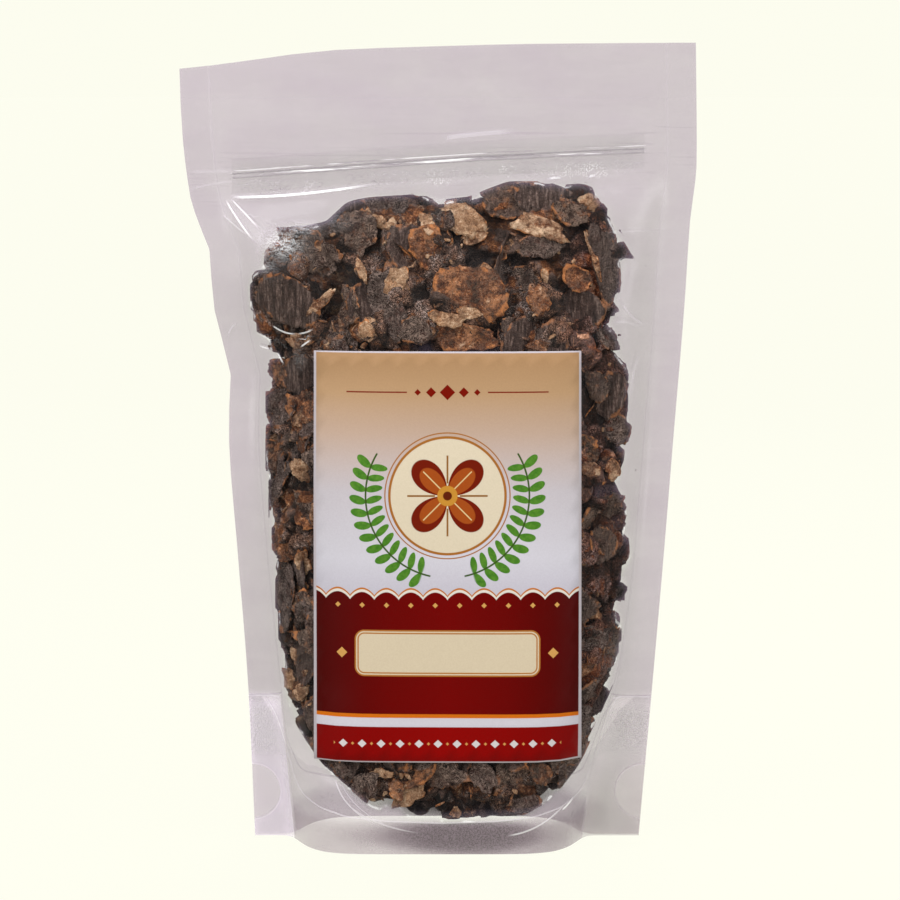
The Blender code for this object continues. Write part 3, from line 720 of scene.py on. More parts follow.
def makeFilmPanel(node, side, paint):
    x, z = panelGrid()
    tree = frontTree if side < 0 else backTree
    edgeX = np.clip(x, leftEdge(z / mm) * mm + 0.0003, rightEdge(z / mm) * mm - 0.0003)
    edgeZ = np.clip(z, 0.0003, np.interp(x / mm, *topSide) * mm - 0.0006)
    shell = blurred(filled(castGrid(tree, side, edgeX, edgeZ)), film["smoothing"])
    inside = castGrid(contentsTree, side, x, z)
    out = shell * side  # outwards is up from here
    held = np.where(np.isnan(inside), -1.0, inside * side)
    gap = np.clip(out - held, 0, 0.02)
    label = (smoothstep(-47, -42, x / mm) * smoothstep(54, 49, x / mm)
             * smoothstep(26, 31, z / mm) * smoothstep(176, 171, z / mm)) * (side < 0)
    touching = (gap < 0.012).astype(float)
    near = blurred(touching, 4.0)
    slack = blurred(smoothstep(0.0010, 0.0045, gap) * touching + (1 - touching) * 0.55, 2.2) * smoothstep(0.05, 0.6, near)
    xm, zm = x / mm, z / mm
    weld = np.maximum(leftEdge(zm) + leftWeld(zm) - xm, xm - rightEdge(zm) + rightWeld(zm))
    seam = seamHeight(xm) - zm
    free = smoothstep(-3, -12, weld) * (1 - near) * smoothstep(12, 30, zm)
    channels, lift = creaseFields(xm, zm)
    if side > 0:
        lift = lift * 0.0
    free = free * smoothstep(7, 14, np.abs(zm - zipLine(xm)))
    waves = ripples(xm, zm, np.clip(free + smoothstep(243, 252, zm) * smoothstep(2, -6, weld) * 0.4, 0, 1))
    mouth = zm > zipLine(xm)  # where both panels wave together
    waves = waves * np.where(mouth, 0.8 * -side, 0.8 if side < 0 else 1.0)
    out = out - film["sag"] * slack * (1 - label) * smoothstep(-2, -9, weld) * smoothstep(-2, -12, seam)
    out = out + lift * mm * 0.7 + waves * mm
    least = blurred(np.maximum(held, out - 0.004), 0.8) + film["cling"]
    out = np.maximum(out, np.minimum(least, shell * side + 0.0006))
    bpy.ops.object.select_all(action="DESELECT")
    bpy.ops.mesh.primitive_grid_add(
        x_subdivisions=film["columns"] - 1, y_subdivisions=film["rows"] - 1, size=1)
    panel = bpy.context.object
    panel.name = node.replace("pouch_", "film_")
    setPoints(panel, np.stack([x, out * side, z], axis=-1).reshape(-1, 3))
    if side > 0:
        bpy.ops.object.mode_set(mode="EDIT")
        bpy.ops.mesh.select_all(action="SELECT")
        bpy.ops.mesh.flip_normals()
        bpy.ops.object.mode_set(mode="OBJECT")
    contact = np.where(np.isnan(inside), 0, 1 - 0.4 * smoothstep(0.0015, 0.0150, out - held))
    for shift, axis in ((1, 0), (-1, 0), (1, 1), (-1, 1)):
        contact = np.minimum(contact, np.roll(contact, shift, axis) + 0.25)
    contact = blurred(contact, 0.9)
    notch = np.full(x.shape, -99.0)
    for edge in (leftEdge, rightEdge):
        centre = float(edge(pouch["notchHeight"]))
        notch = np.maximum(notch, pouch["notchRadius"] - np.hypot(xm - centre, zm - pouch["notchHeight"]))
    values = dict(contact=contact, weld=weld, seam=seam, notch=notch, zip=zm - zipLine(xm),
                  glare=glareField(xm, zm) * (side < 0))
    for number, (_, signed, bright) in enumerate(channels):
        values[f"crease{number}"], values[f"shine{number}"] = signed, bright * (1.0 if side < 0 else 0.3)
    for name, grid in values.items():
        setAttribute(panel, name, grid)
    print(panel.name, "laid")
    return handOver(panel, paint, [node])


def lineOf(paint, distance, width):  # 1 on a line, 0 away from it
    return paint.step(distance.size(), width * 0.35, width, 1.0, 0.0)


def filmPaint():
    paint = Paint("clearFilm", IOR=1.5, Roughness=0.15)
    place = millimetres(paint)
    contact, weld, seam = (paint.attribute(name) for name in ("contact", "weld", "seam"))
    notch, zipGap, glare = (paint.attribute(name) for name in ("notch", "zip", "glare"))
    x, y, z = paint.axes(place)
    cloud = paint.noise(place, 0.045, detail=4, roughness=0.6)
    mist = paint.noise(paint.turned(place, scale=(0.02, 0.02, 0.11)), 1.0, detail=3)
    knurl = paint.cells(place, 1.5, randomness=0.7)
    sparkle = paint.step(knurl, 0.18, 0.42, 1.0, 0.0)
    patchy = paint.step(paint.noise(place, 0.13, detail=4), 0.36, 0.7)
    welded = paint.step(weld, -0.25, 0.25)
    skirt = paint.step(seam, -0.25, 0.25)
    zipBand = paint.step((zipGap + 5.2).size(), 1.2, 4.6, 1.0, 0.0) * paint.step(x.size(), 60, 74, 1.0, 0.0)
    ribs = lineOf(paint, zipGap - 0.85, 0.30).most(lineOf(paint, zipGap + 0.6, 0.28) * 0.7)
    ribs = ribs * paint.step(x.size(), 69, 71.5, 1.0, 0.0)
    zipEnds = paint.step(x.size(), 69, 71.5, 1.0, 0.0)
    drawn = paint.noise(paint.turned(place, scale=(0.03, 0.5, 0.5)), 1.0, detail=3, roughness=0.7)
    zipShine = paint.step((zipGap - 0.15).size(), 0.2, 0.6, 1.0, 0.0).most(lineOf(paint, zipGap - 1.8, 0.3) * 0.7)
    zipShine = zipShine * paint.step(drawn, 0.46, 0.6) * zipEnds
    finKnurl = welded * paint.step((z - 37.0).size(), 6.5, 9.5, 1.0, 0.0)
    # seal edges, the fold at the fins and the creases: real lines, whitened below as painted highlights
    lines = (lineOf(paint, weld, 0.35) * 0.10).most(lineOf(paint, seam, 0.4) * 0.34).most(lineOf(paint, notch, 0.45) * 0.18)
    lines = lines.most(lineOf(paint, z - 49.0, 0.4) * welded * 0.35)
    for number in range(3):
        lines = lines.most(lineOf(paint, paint.attribute(f"crease{number}"), 0.5) * paint.attribute(f"shine{number}"))
    shadow = paint.step(((x - 10) / 34) ** 2 + ((z - 6.5) / 9) ** 2, 0.05, 1.1, 1.0, 0.0)  # painted shadow under the pouch, seen through the foot
    # a fainter painted shadow reaching to the right
    tail = paint.step(((x - 28) / 34) ** 2 + ((z - 6.5) / 12) ** 2, 0.05, 1.1, 0.4, 0.0)
    shadow = shadow.most(tail) * skirt
    scratches = paint.noise(paint.turned(place, turn=(0, 0.5, 0), scale=(0.5, 0.5, 2.2)), 1.0, detail=3, roughness=0.7)
    speckle = paint.noise(place, 2.2, detail=2, roughness=0.7)
    glaring = glare * paint.step(scratches * 0.5 + speckle * 0.5, 0.40, 0.57)
    streaks = paint.step(paint.noise(paint.turned(place, scale=(0.012, 0.5, 0.9)), 1.0, detail=2), 0.6, 0.72)
    zipHaze = streaks * paint.step(zipGap.size(), 4, 22, 0.35, 0.0)
    # the foot of the skirt, made hazier and darker below: a painted shade
    foot = skirt * (1 - welded) * paint.step(z, 8, 14, 1.0, 0.0)
    haze = 0.37 + (cloud - 0.5) * 0.14 + (mist - 0.5) * 0.08 + foot * 0.22
    alpha = haze * (1 - contact) + (0.035 + (cloud - 0.5) * 0.04) * contact
    alpha = alpha + lines * 0.6 + glaring * 0.72 + zipHaze * 0.2 + ribs * 0.15 + zipShine * 0.4 + shadow * 0.38
    alpha = alpha + sparkle * patchy * (zipBand * paint.step(x, -35, 15, 0.5, 0.16) + finKnurl * 0.07 + foot * 0.12)
    glint = paint.step((contact - 0.42).size(), 0.05, 0.2, 1.0, 0.0) * paint.step(paint.noise(place, 0.16, detail=3), 0.53, 0.62)
    alpha = alpha + glint * (1 - skirt) * 0.22
    milky = paint.colour(cloud, paint.colour(paint.step(z, 120, 235), (0.240, 0.162, 0.248), (0.240, 0.172, 0.250)),
                         paint.colour(paint.step(z, 120, 235), (0.284, 0.200, 0.296), (0.284, 0.210, 0.298)))
    # painted light and shade on the welded corners: the left one lighter than the right, which darkens towards the
    # bottom
    corner = welded * paint.step(z, 52, 46)
    milky = paint.colour(corner, milky, paint.colour(
        paint.step(x, -20, 20), (0.66, 0.53, 0.73), paint.colour(paint.step(z, 8, 34), (0.27, 0.19, 0.24), (0.50, 0.39, 0.50))))
    # painted light: the skirt lighter above its foot
    rim = skirt * (1 - welded) * paint.step(z, 9, 14)
    milky = paint.colour(rim * 0.8, milky, (0.48, 0.39, 0.47))
    # painted shade at the foot
    milky = paint.colour(foot, milky, (0.27, 0.20, 0.25))
    # painted light: the free film low down beside the pulp made lighter
    beside = (1 - skirt) * (1 - welded) * (1 - contact) * paint.step(z, 26, 62, 1.0, 0.0)
    milky = paint.colour(beside * 0.55, milky, (0.46, 0.37, 0.46))
    milky = paint.colour(paint.step(notch, -0.3, 0.3) * 0.6, milky, (0.24, 0.17, 0.22))
    grainy = paint.step(paint.noise(place, 2.2, detail=2, roughness=0.7), 0.36, 0.62, 0.55, 1.0)
    milky = paint.colour(shadow * grainy * 0.9, milky, (0.050, 0.036, 0.040))
    milky = paint.colour(ribs * 0.5, milky, (0.15, 0.12, 0.16))
    tone = paint.colour(contact, milky, (0.035, 0.031, 0.034))
    # painted highlights: lines, glare, knurl sparkle, zip shine and edge glints turn the film white
    white = lines.most(glaring).most(sparkle * patchy * (zipBand * 0.9 + finKnurl * 0.3)).most(zipShine).most(glint * 0.8)
    tone = paint.colour(white, tone, (0.85, 0.84, 0.86))
    fine = paint.noise(paint.turned(place, scale=(0.9, 0.9, 0.35)), 1.0, detail=3)
    ripple = paint.relief(fine * 0.35 + cloud * 2.0 + lines * 1.2, 0.0004, 0.4)
    bump = paint.relief(knurl * (zipBand + finKnurl * 1.2 + skirt * 0.25) + ribs * 1.5, 0.0006, 0.7, ripple)
    return paint.show(BaseColor=tone, Alpha=alpha.least(0.92), Normal=bump,
                      Roughness=0.17 + cloud * 0.14 + (finKnurl + zipBand) * 0.1)


# Wads of pulp that close the gaps between the lumps

wads = dict(
    close=6, closeOpen=10, spacing=5.2, size=(5.2, 8.2), deep=0.0075, seed=11,
    extra=((446, 796), (432, 786), (458, 806), (420, 800), (472, 796), (444, 344), (322, 335), (334, 342), (446, 300),
           (446, 250), (556, 342), (570, 340), (540, 344), (304, 346), (500, 792), (520, 786), (541, 778), (528, 797),
           (492, 806), (510, 803), (470, 812), (556, 770)),
)


def spread(mask, reach):
    for _ in range(reach):
        grown = mask.copy()
        grown[1:] |= mask[:-1]
        grown[:-1] |= mask[1:]
        grown[:, 1:] |= mask[:, :-1]
        grown[:, :-1] |= mask[:, 1:]
        mask = grown
    return mask


def joined(pieces, name):
    bpy.ops.object.select_all(action="DESELECT")
    for piece in pieces:
        piece.select_set(True)
    bpy.context.view_layer.objects.active = pieces[0]
    bpy.ops.object.join()
    pieces[0].name = name
    return pieces[0]


def makeWads(paint):
    luck = random.Random(wads["seed"])
    chosen = []
    for side, face in ((-1, frontFace), (1, backFace)):
        hits = castGrid(pulpTree, side, gridX, gridZ)
        near = np.nan_to_num(np.abs(hits - face), nan=1.0) < wads["deep"]
        seen = ~np.isnan(hits)
        closed = ~spread(~spread(near, wads["close"]), wads["close"])
        holes = ~spread(~spread(seen, wads["closeOpen"]), wads["closeOpen"]) & ~seen & (np.abs(gridX) < 0.046)
        spots = np.argwhere(closed & ~near | holes)
        order = list(range(len(spots)))
        luck.shuffle(order)
        picked = []
        for k in order:
            if all(np.hypot(*(spots[k] - other)) > wads["spacing"] for other in picked):
                picked.append(spots[k])
        open_ = np.isnan(hits)
        chosen += [(row, column, (side * 0.8, side * 0.15) if open_[row, column] else (side * 0.75,))
                   for row, column in picked]
    for point in wads["extra"]:
        place, ahead = rayThrough(*point)
        spot = place + ahead * ((-0.02 - place.y) / ahead.y)
        chosen.append((int(spot.z / mm), int(spot.x / mm) + 88, (-0.8, -0.3, 0.4)))
    bpy.ops.object.select_all(action="DESELECT")
    bpy.ops.mesh.primitive_ico_sphere_add(subdivisions=3, radius=1)
    ball = bpy.context.object
    start, outward = pointsOf(ball), normalsOf(ball)
    pieces = []
    for row, column, levels in chosen:
        room = (frontFace[row, column], backFace[row, column])
        half = (room[1] - room[0]) / 2 - 0.003
        for level in levels if half > 0.007 else (0,):
            size = luck.uniform(*wads["size"]) * mm
            centre = np.array((gridX[row, column], sum(room) / 2 + level * half, gridZ[row, column]))
            stretch = np.array([luck.uniform(0.8, 1.3) for _ in range(3)])
            lump = bpy.data.objects.new("wad", ball.data.copy())
            bpy.context.scene.collection.objects.link(lump)
            points, depth, number = tornPoints(centre + start * size * stretch, outward, dict(
                pulp, plates=0.0026, rolls=0.0012, grow=0.0006), luck.uniform(0, 1))
            setPoints(lump, kept(points))
            setAttribute(lump, "depth", depth)
            setAttribute(lump, "number", number)
            pieces.append(lump)
    bpy.data.objects.remove(ball)
    print("wads:", len(pieces))
    return handOver(joined(pieces, "pulp_wads"), paint)


# Scraps: torn pods, dark rags and papery husk stuck in the pulp

scraps = dict(
    seed=23, thickness=0.0005,
    smoothness=dict(leaf=1.0, bowl=0.55),
    kinds=dict(  # rows, columns, length, width, dish, crumple, raggedness, in mm
        bowl=(19, 15, (14, 25), (9, 16), 2.2, 0.9, 0.22),
        rag=(19, 14, (13, 27), (8, 16), 0.6, 1.5, 0.30),
        leaf=(17, 13, (14, 22), (9, 14), 0.7, 0.35, 0.15),
        husk=(12, 10, (4, 12), (2.5, 7), 0.4, 0.9, 0.34),
        fleck=(5, 4, (1.0, 3.2), (0.6, 1.5), 0.2, 0.3, 0.4),
        strand=(8, 3, (3, 8), (0.3, 0.55), 0.2, 2.2, 0.1),
        crumb=(4, 4, (0.7, 1.2), (0.5, 0.9), 0.2, 0.1, 0.3),
    ),
    amounts=dict(  # how many of each are strewn over the front and the back
        front=dict(bowl=20, rag=58, leaf=8, husk=24, fleck=130, strand=70),
        back=dict(bowl=20, rag=58, leaf=8, husk=30, fleck=100, strand=50)),
    tones=dict(bowl=(0.05, 0.55), rag=(-0.15, 0.3), leaf=(-0.1, 0.2), husk=(0.45, 1.0), fleck=(0.4, 1.0), strand=(0.2, 0.7)),
    placed=(  # the picture's point, kind, length, width, turn in degrees, tone
        ((459, 219), "husk", 17, 11, 15, 0.90), ((427, 224), "husk", 7, 5, 60, 0.8), ((470, 294), "bowl", 25, 20, 15, 0.50),
        ((447, 281), "husk", 8, 7, 30, 0.66), ((484, 278), "husk", 9, 7, 120, 0.74), ((497, 303), "husk", 5, 4, 80, 0.85),
        ((446, 319), "husk", 12, 5, 12, 0.80), ((470, 314), "husk", 9, 4, 8, 0.84), ((463, 336), "bowl", 24, 9, 5, 0.52),
        ((397, 281), "husk", 10, 8, 130, 0.88), ((377, 221), "husk", 7, 4, 30, 0.95), ((391, 227), "husk", 5, 4, 150, 0.95),
        ((368, 217), "husk", 5, 3, 80, 0.9), ((362, 271), "husk", 9, 2.6, 70, 0.78), ((366, 331), "husk", 6, 5, 60, 0.98),
        ((531, 191), "husk", 12, 5, 8, 0.82), ((541, 228), "husk", 19, 7, 18, 0.72), ((540, 247), "rag", 16, 8, -5, 0.12), ((475, 238), "husk", 12, 4.5, -25, 0.70), ((592, 254), "husk", 17, 2.4, 75, 0.66),
        ((288, 301), "leaf", 25, 16, 32, 0.20), ((300, 372), "leaf", 12, 14, 10, 0.08), ((608, 395), "leaf", 13, 15, 10, 0.10),
        ((590, 205), "husk", 9, 7, 40, 0.80), ((571, 212), "rag", 14, 8, 30, 0.3), ((605, 262), "bowl", 30, 9, 80, 0.06),
        ((576, 280), "bowl", 10, 8, 40, 0.5), ((545, 276), "fleck", 6, 2.4, 80, 0.9), ((540, 300), "husk", 11, 7, 75, 0.55),
        ((350, 205), "leaf", 14, 10, 20, 0.02), ((385, 205), "rag", 16, 9, -10, 0.03), ((505, 200), "bowl", 20, 13, 25, 0.30),
        ((548, 203), "leaf", 25, 12, 12, 0.14), ((585, 308), "leaf", 16, 11, 30, 0.05), ((415, 330), "rag", 12, 8, 0, 0.2),
        ((284, 231), "bowl", 9, 6, 80, 0.5), ((301, 228), "husk", 4, 2.5, 10, 0.7), ((320, 303), "husk", 12, 3.4, -42, 0.7),
        ((300, 342), "husk", 9, 5, 0, 0.72), ((282, 372), "bowl", 11, 8, 50, 0.4), ((300, 470), "husk", 9, 6, 60, 0.82),
        ((272, 455), "bowl", 12, 9, 70, 0.36), ((285, 545), "bowl", 11, 9, 80, 0.5), ((303, 562), "husk", 8, 5, 80, 0.8),
        ((290, 620), "bowl", 10, 7, 60, 0.3), ((290, 679), "husk", 9, 6, 20, 0.84), ((303, 690), "husk", 8, 5, 140, 0.72),
        ((612, 470), "husk", 8, 5, 70, 0.7), ((597, 385), "bowl", 12, 8, 70, 0.3), ((617, 430), "rag", 12, 8, 80, 0.1),
        ((590, 470), "husk", 7, 5, 30, 0.62), ((603, 545), "bowl", 13, 9, 80, 0.28), ((590, 610), "husk", 8, 5, 20, 0.74),
        ((612, 640), "bowl", 11, 8, 70, 0.3), ((598, 700), "bowl", 12, 10, 50, 0.12), ((590, 733), "husk", 7, 4, 60, 0.66),
        ((382, 773), "husk", 9, 3, 5, 0.86), ((410, 793), "husk", 12, 7, 150, 0.82), ((396, 789), "husk", 7, 5, 70, 0.55),
        ((456, 813), "husk", 4, 3.4, 60, 0.78), ((540, 771), "bowl", 11, 7, 60, 0.4), ((483, 776), "rag", 13, 9, 60, 0.1),
        ((520, 800), "rag", 14, 9, 10, 0.08), ((365, 785), "rag", 11, 8, 120, 0.15),
        ((620, 229), "crumb", 1.3, 1.0, 20, 0.2), ((586, 55), "crumb", 1.0, 0.8, 0, 0.3), ((299, 93), "crumb", 1.0, 0.8, 0, 0.6),
        ((319, 95), "crumb", 0.6, 1.5, 0, 0.9), ((380, 84), "crumb", 0.6, 0.6, 0, 0.2), ((646, 129), "crumb", 0.8, 0.5, 0, 0.2),
        ((640, 262), "crumb", 0.7, 0.6, 0, 0.3), ((618, 333), "crumb", 0.9, 0.7, 0, 0.1), ((575, 98), "crumb", 0.6, 0.5, 0, 0.3),
        ((412, 128), "crumb", 0.6, 0.6, 0, 0.4), ((270, 345), "crumb", 0.8, 0.7, 0, 0.2), ((640, 470), "crumb", 0.8, 0.6, 0, 0.2),
    ),
)


def raggedSheet(template, luck, kind, length, width, tone):
    rows, columns, _, _, dish, crumple, ragged = scraps["kinds"][kind]
    grid = pointsOf(template) * 2  # from -1 to 1 both ways
    along, across = grid[:, 0], grid[:, 1]
    seed = Vector([luck.uniform(-50, 50) for _ in range(3)])
    reach = np.maximum(np.abs(along), np.abs(across))
    round_ = np.where(reach > 0, reach / np.maximum(np.hypot(along, across), 1e-6), 1)
    angle = np.arctan2(across, along)
    torn = np.array([1 + ragged * sum(noise.noise(seed + Vector((math.cos(a) * wave, math.sin(a) * wave, 0))) * depth
                                      for wave, depth in ((1.2, 1.2), (3.3, 0.5), (9, 0.4), (22, 0.3))) for a in angle])
    spreadOut = 1 + (torn - 1) * reach
    u, v = along * round_ * spreadOut, across * round_ * spreadOut
    bend = luck.uniform(-0.35, 0.35)
    x = u * length / 2
    z = (v + bend * u * u) * width / 2
    folds = np.array([noise.noise(seed + Vector((a * 0.17, 3, b * 0.17))) * 0.6
                      + noise.noise(seed + Vector((a * 0.5, 7, b * 0.5))) * 0.3 for a, b in zip(x, z)])
    lift = luck.choice((1, 1, 1, -1)) if kind in ("bowl", "rag") else luck.choice((1, -1))
    ribs = np.cos(angle * 13) * reach ** 2 * (0.22 if kind == "bowl" else 0.0)
    y = lift * dish * (0.75 * v * v + 0.45 * u * u - 0.4) + folds * crumple * 1.6 + ribs
    rim = np.clip(smoothstep(0.62, 1.0, reach) * (0.7 + 0.5 * (torn - 0.9) / ragged), 0, 1)
    return np.stack([x, y, z], axis=-1) * mm, rim


def strew(tree, luck, name, side, counts, placed=()):
    templates = {}
    for kind, values in scraps["kinds"].items():
        bpy.ops.object.select_all(action="DESELECT")
        bpy.ops.mesh.primitive_grid_add(x_subdivisions=values[0] - 1, y_subdivisions=values[1] - 1, size=1)
        templates[kind] = bpy.context.object
    jobs = []
    for point, kind, length, width, turn, tone in placed:
        start, ahead = rayThrough(*point)
        if kind == "crumb":  # stuck to the inside of the film
            spot = start + ahead * (-start.y / ahead.y)
            spot.y = float(sampled(frontFace, spot.x, spot.z)) + 0.0006
            jobs.append((kind, spot, Vector((0, -1, 0)), length, width, 0, tone, 0))
            continue
        spot, normal = tree.ray_cast(start, ahead)[:2]
        if spot is None:  # beside the pulp: on the plane through its edge
            near = tree.find_nearest(start + ahead * ((-0.004 - start.y) / ahead.y))
            spot, normal = near[0] * 0.35 + (start + ahead * ((near[0].y - start.y) / ahead.y)) * 0.65, Vector((0, -1, 0.1))
        jobs.append((kind, spot, (normal * 0.25 + Vector((0, -1, 0.1))).normalized(), length, width,
                     math.radians(turn), tone, 1.8))
    shown = [(job[1], max(job[3], job[4]) * 0.5 * mm) for job in jobs if job[5] is not None]
    for kind, count in counts.items():
        lengths, widths = scraps["kinds"][kind][2:4]
        while count:
            angle = luck.uniform(-1.25, 1.25)
            start = Vector((math.sin(angle) * 0.3 + luck.uniform(-0.03, 0.03), side * math.cos(angle) * 0.3,
                            luck.uniform(0.012, 0.222)))
            aim = Vector((luck.uniform(-0.045, 0.045), 0, start.z + luck.uniform(-0.02, 0.02)))
            spot, normal = tree.ray_cast(start, (aim - start).normalized())[:2]
            if spot is None:
                continue
            hidden = side < 0 and -0.036 < spot.x < 0.043 and 0.037 < spot.z < 0.165
            if hidden and luck.random() < 0.9:
                continue
            if kind in ("bowl", "rag", "leaf", "husk") and any(math.hypot(spot.x - other.x, spot.z - other.z) < reach + 0.003
                                                       for other, reach in shown):
                continue
            count -= 1
            jobs.append((kind, spot, (normal + Vector((math.sin(angle), side * math.cos(angle), 0.0)) * 0.8).normalized(),
                         luck.uniform(*lengths), luck.uniform(*widths), luck.uniform(0, math.tau),
                         luck.uniform(*scraps["tones"][kind]), luck.uniform(0.0, 0.8)))
    pieces = []
    for kind, spot, normal, length, width, turn, tone, lift in jobs:
        template = templates[kind]
        points, rim = raggedSheet(template, luck, kind, length, width, tone)
        level = Vector((1, 0, 0)) - normal * normal.x
        level.normalize()
        frameOf = np.array([level, normal, level.cross(normal)])
        c, s = math.cos(turn), math.sin(turn)
        turned = points @ np.array(((c, 0, s), (0, 1, 0), (-s, 0, c)))
        placedPoints = turned @ frameOf + np.array(spot + normal * lift * mm)
        sheet = bpy.data.objects.new("scrap", template.data.copy())
        bpy.context.scene.collection.objects.link(sheet)
        setPoints(sheet, kept(placedPoints, (pouch["filmGap"] + 0.35 * luck.random()) * mm))
        setAttribute(sheet, "rim", rim)
        setAttribute(sheet, "tone", np.full(len(rim), tone))
        setAttribute(sheet, "smooth", np.full(len(rim), scraps["smoothness"].get(kind, 0.0)))
        pieces.append(sheet)
    for template in templates.values():
        bpy.data.objects.remove(template)
    piece = joined(pieces, name)
    modify(piece, "SOLIDIFY", thickness=scraps["thickness"], offset=0)
    setPoints(piece, kept(pointsOf(piece), 0.0007))
    print(name, len(pieces), "scraps,", len(piece.data.polygons) * 2, "triangles")
    return piece


def scrapPaint():
    paint = Paint("tornHusk", Roughness=0.6, SpecularIORLevel=0.17)
    place = millimetres(paint)
    hairs, ground = fibreField(paint, place, 0.7)
    rim, tone, smooth = (paint.attribute(name) for name in ("rim", "tone", "smooth"))
    mottle = paint.noise(place, 0.35, detail=5, roughness=0.65)
    fine = paint.noise(place, 2.6, detail=3, roughness=0.7)
    grain = ground * 0.35 + fine * 0.35 + mottle * 0.3
    broad = paint.noise(place, 0.13, detail=3, roughness=0.6)
    grain = grain + (broad - 0.5) * 0.35
    dark = paint.ramp(grain, ((0.41, (0.0025, 0.0007, 0.0005)), (0.52, (0.020, 0.0070, 0.0048)), (0.61, (0.115, 0.060, 0.048))))
    rust = paint.ramp(grain, ((0.39, (0.016, 0.0030, 0.0009)), (0.5, (0.120, 0.034, 0.012)), (0.59, (0.42, 0.175, 0.076))))
    tan = paint.ramp(grain, ((0.39, (0.110, 0.036, 0.011)), (0.5, (0.38, 0.205, 0.110)), (0.59, (0.72, 0.50, 0.345))))
    shift = (mottle - 0.5) * 1.1
    colour = paint.colour(paint.step(tone + shift, 0.28, 0.52), dark, rust)
    colour = paint.colour(paint.step(tone + shift, 0.60, 0.82), colour, tan)
    streaks = paint.noise(paint.turned(place, turn=(0, 0.35, 0), scale=(1.1, 0.5, 0.14)), 1.0, detail=4, roughness=0.65)
    leather = paint.ramp(streaks * 0.7 + fine * 0.3, ((0.40, (0.010, 0.0036, 0.0026)), (0.52, (0.058, 0.033, 0.027)),
                                                      (0.64, (0.22, 0.150, 0.128))))
    colour = paint.colour(smooth * paint.step(tone, 0.2, 0.45, 1.0, 0.0), colour, leather)
    fuzz = hairs * paint.step(tone, 0.2, 0.6, 0.7, 0.35) * (1 - smooth * 0.85)
    colour = paint.colour(fuzz, colour, paint.colour(tone, (0.26, 0.190, 0.170), (0.62, 0.38, 0.24)))
    # orange torn edges: partly the flesh's own colour, partly painted light shining through the thin edges
    orange = paint.colour(fine, (0.28, 0.050, 0.008), (0.80, 0.36, 0.14))
    broken = paint.step(paint.noise(place, 0.22, detail=3), 0.47, 0.58)
    colour = paint.colour(paint.step(rim + (mottle - 0.5) * 1.2, 0.66, 0.94) * broken
                          * paint.step(tone, 0.04, 0.4, 0.45, 0.95), colour, orange)
    stains = paint.step(paint.noise(place, 0.28, detail=4, roughness=0.7), 0.56, 0.66) * paint.step(tone, 0.3, 0.8, 0.7, 0.45)
    colour = paint.colour(stains, colour, (0.022, 0.010, 0.006))
    bump = paint.relief(hairs + ground + fine * 0.7 + mottle, 0.0008, 0.9)
    return paint.show(BaseColor=colour, Normal=bump, Roughness=0.74 - stains * 0.25 - smooth * 0.3)


scrapMaterial = scrapPaint()
wadPiece = makeWads(pulpMaterial)
packedTree = treeOf(pulpPieces + [wadPiece])
luck = random.Random(scraps["seed"])
frontScraps = handOver(strew(packedTree, luck, "front_scraps", -1, scraps["amounts"]["front"], scraps["placed"]),
                       scrapMaterial)
backScraps = handOver(strew(packedTree, luck, "back_scraps", 1, scraps["amounts"]["back"]), scrapMaterial)


contentsTree = treeOf(pulpPieces + [wadPiece, frontScraps, backScraps])
filmMaterial = filmPaint()
filmPieces = [makeFilmPanel("pouch_front_panel", -1, filmMaterial), makeFilmPanel("pouch_back_panel", 1, filmMaterial)]

# Zip and gusset

def zipPaint():
    paint = Paint("zipFilm", Roughness=0.16, IOR=1.9)
    x, y, z = paint.axes(millimetres(paint))
    spots = np.linspace(-75, 75, 60)
    cube, square, slope, level = (float(c) for c in np.polyfit(spots, zipLine(spots), 3))
    above = z - (((x * cube + square) * x + slope) * x + level)
    ribs = lineOf(paint, above - 0.1, 0.9)
    knurl = paint.cells(millimetres(paint), 1.5, randomness=0.7)
    band = paint.step((above + 4).size(), 1.0, 2.6, 1.0, 0.0)
    tone = paint.colour(ribs, (0.25, 0.20, 0.26), (0.60, 0.56, 0.62))
    return paint.show(BaseColor=tone, Alpha=0.006 + ribs * 0.05 + band * 0.01,
                      Normal=paint.relief(knurl * band + ribs, 0.0005, 0.6))


def gussetPaint():
    paint = Paint("gussetFilm", Roughness=0.2, IOR=1.7)
    place = millimetres(paint)
    x, y, z = paint.axes(place)
    cloud = paint.noise(place, 0.05, detail=4)
    fold = paint.step(z, 44, 50)
    tone = paint.colour(cloud, (0.26, 0.21, 0.28), (0.36, 0.30, 0.37))
    return paint.show(BaseColor=tone, Alpha=0.022 + cloud * 0.03 + fold * 0.02,
                      Normal=paint.relief(paint.noise(place, 0.4, detail=3) + cloud * 3, 0.0006, 0.4))


for node, name, slot, material in (("zip_strip_rib", "zip_rib", "zip", zipPaint()), ("zip_strip_groove", "zip_groove", "zip", None),
                                   ("pouch_gusset", "film_gusset", "film", gussetPaint())):
    material = material or bpy.data.materials["zipFilm"]
    piece = handOver(copyOfNode(node, name), material, [node])
    bpy.ops.object.shade_smooth_by_angle(angle=math.radians(40))
print("zip and gusset made")


# Label: a plain design of its own, printed by its material

labelPrint = dict(  # millimetres on the label, up from its lower edge and across from its middle
    middle=3.25, foot=32.0, width=89.5, height=138.0, margin=0.45, scallop=8.2,
    strip=12.1, white=15.2, orange=16.5, block=55.0, plateAt=37, plateSize=(31, 7.6), roundelAt=90, roundel=19.5,
)


def ink(red, green, blue):  # printed colours under the studio's light
    return tuple((c / 255) ** 2.2 * 0.55 for c in (red, green, blue))


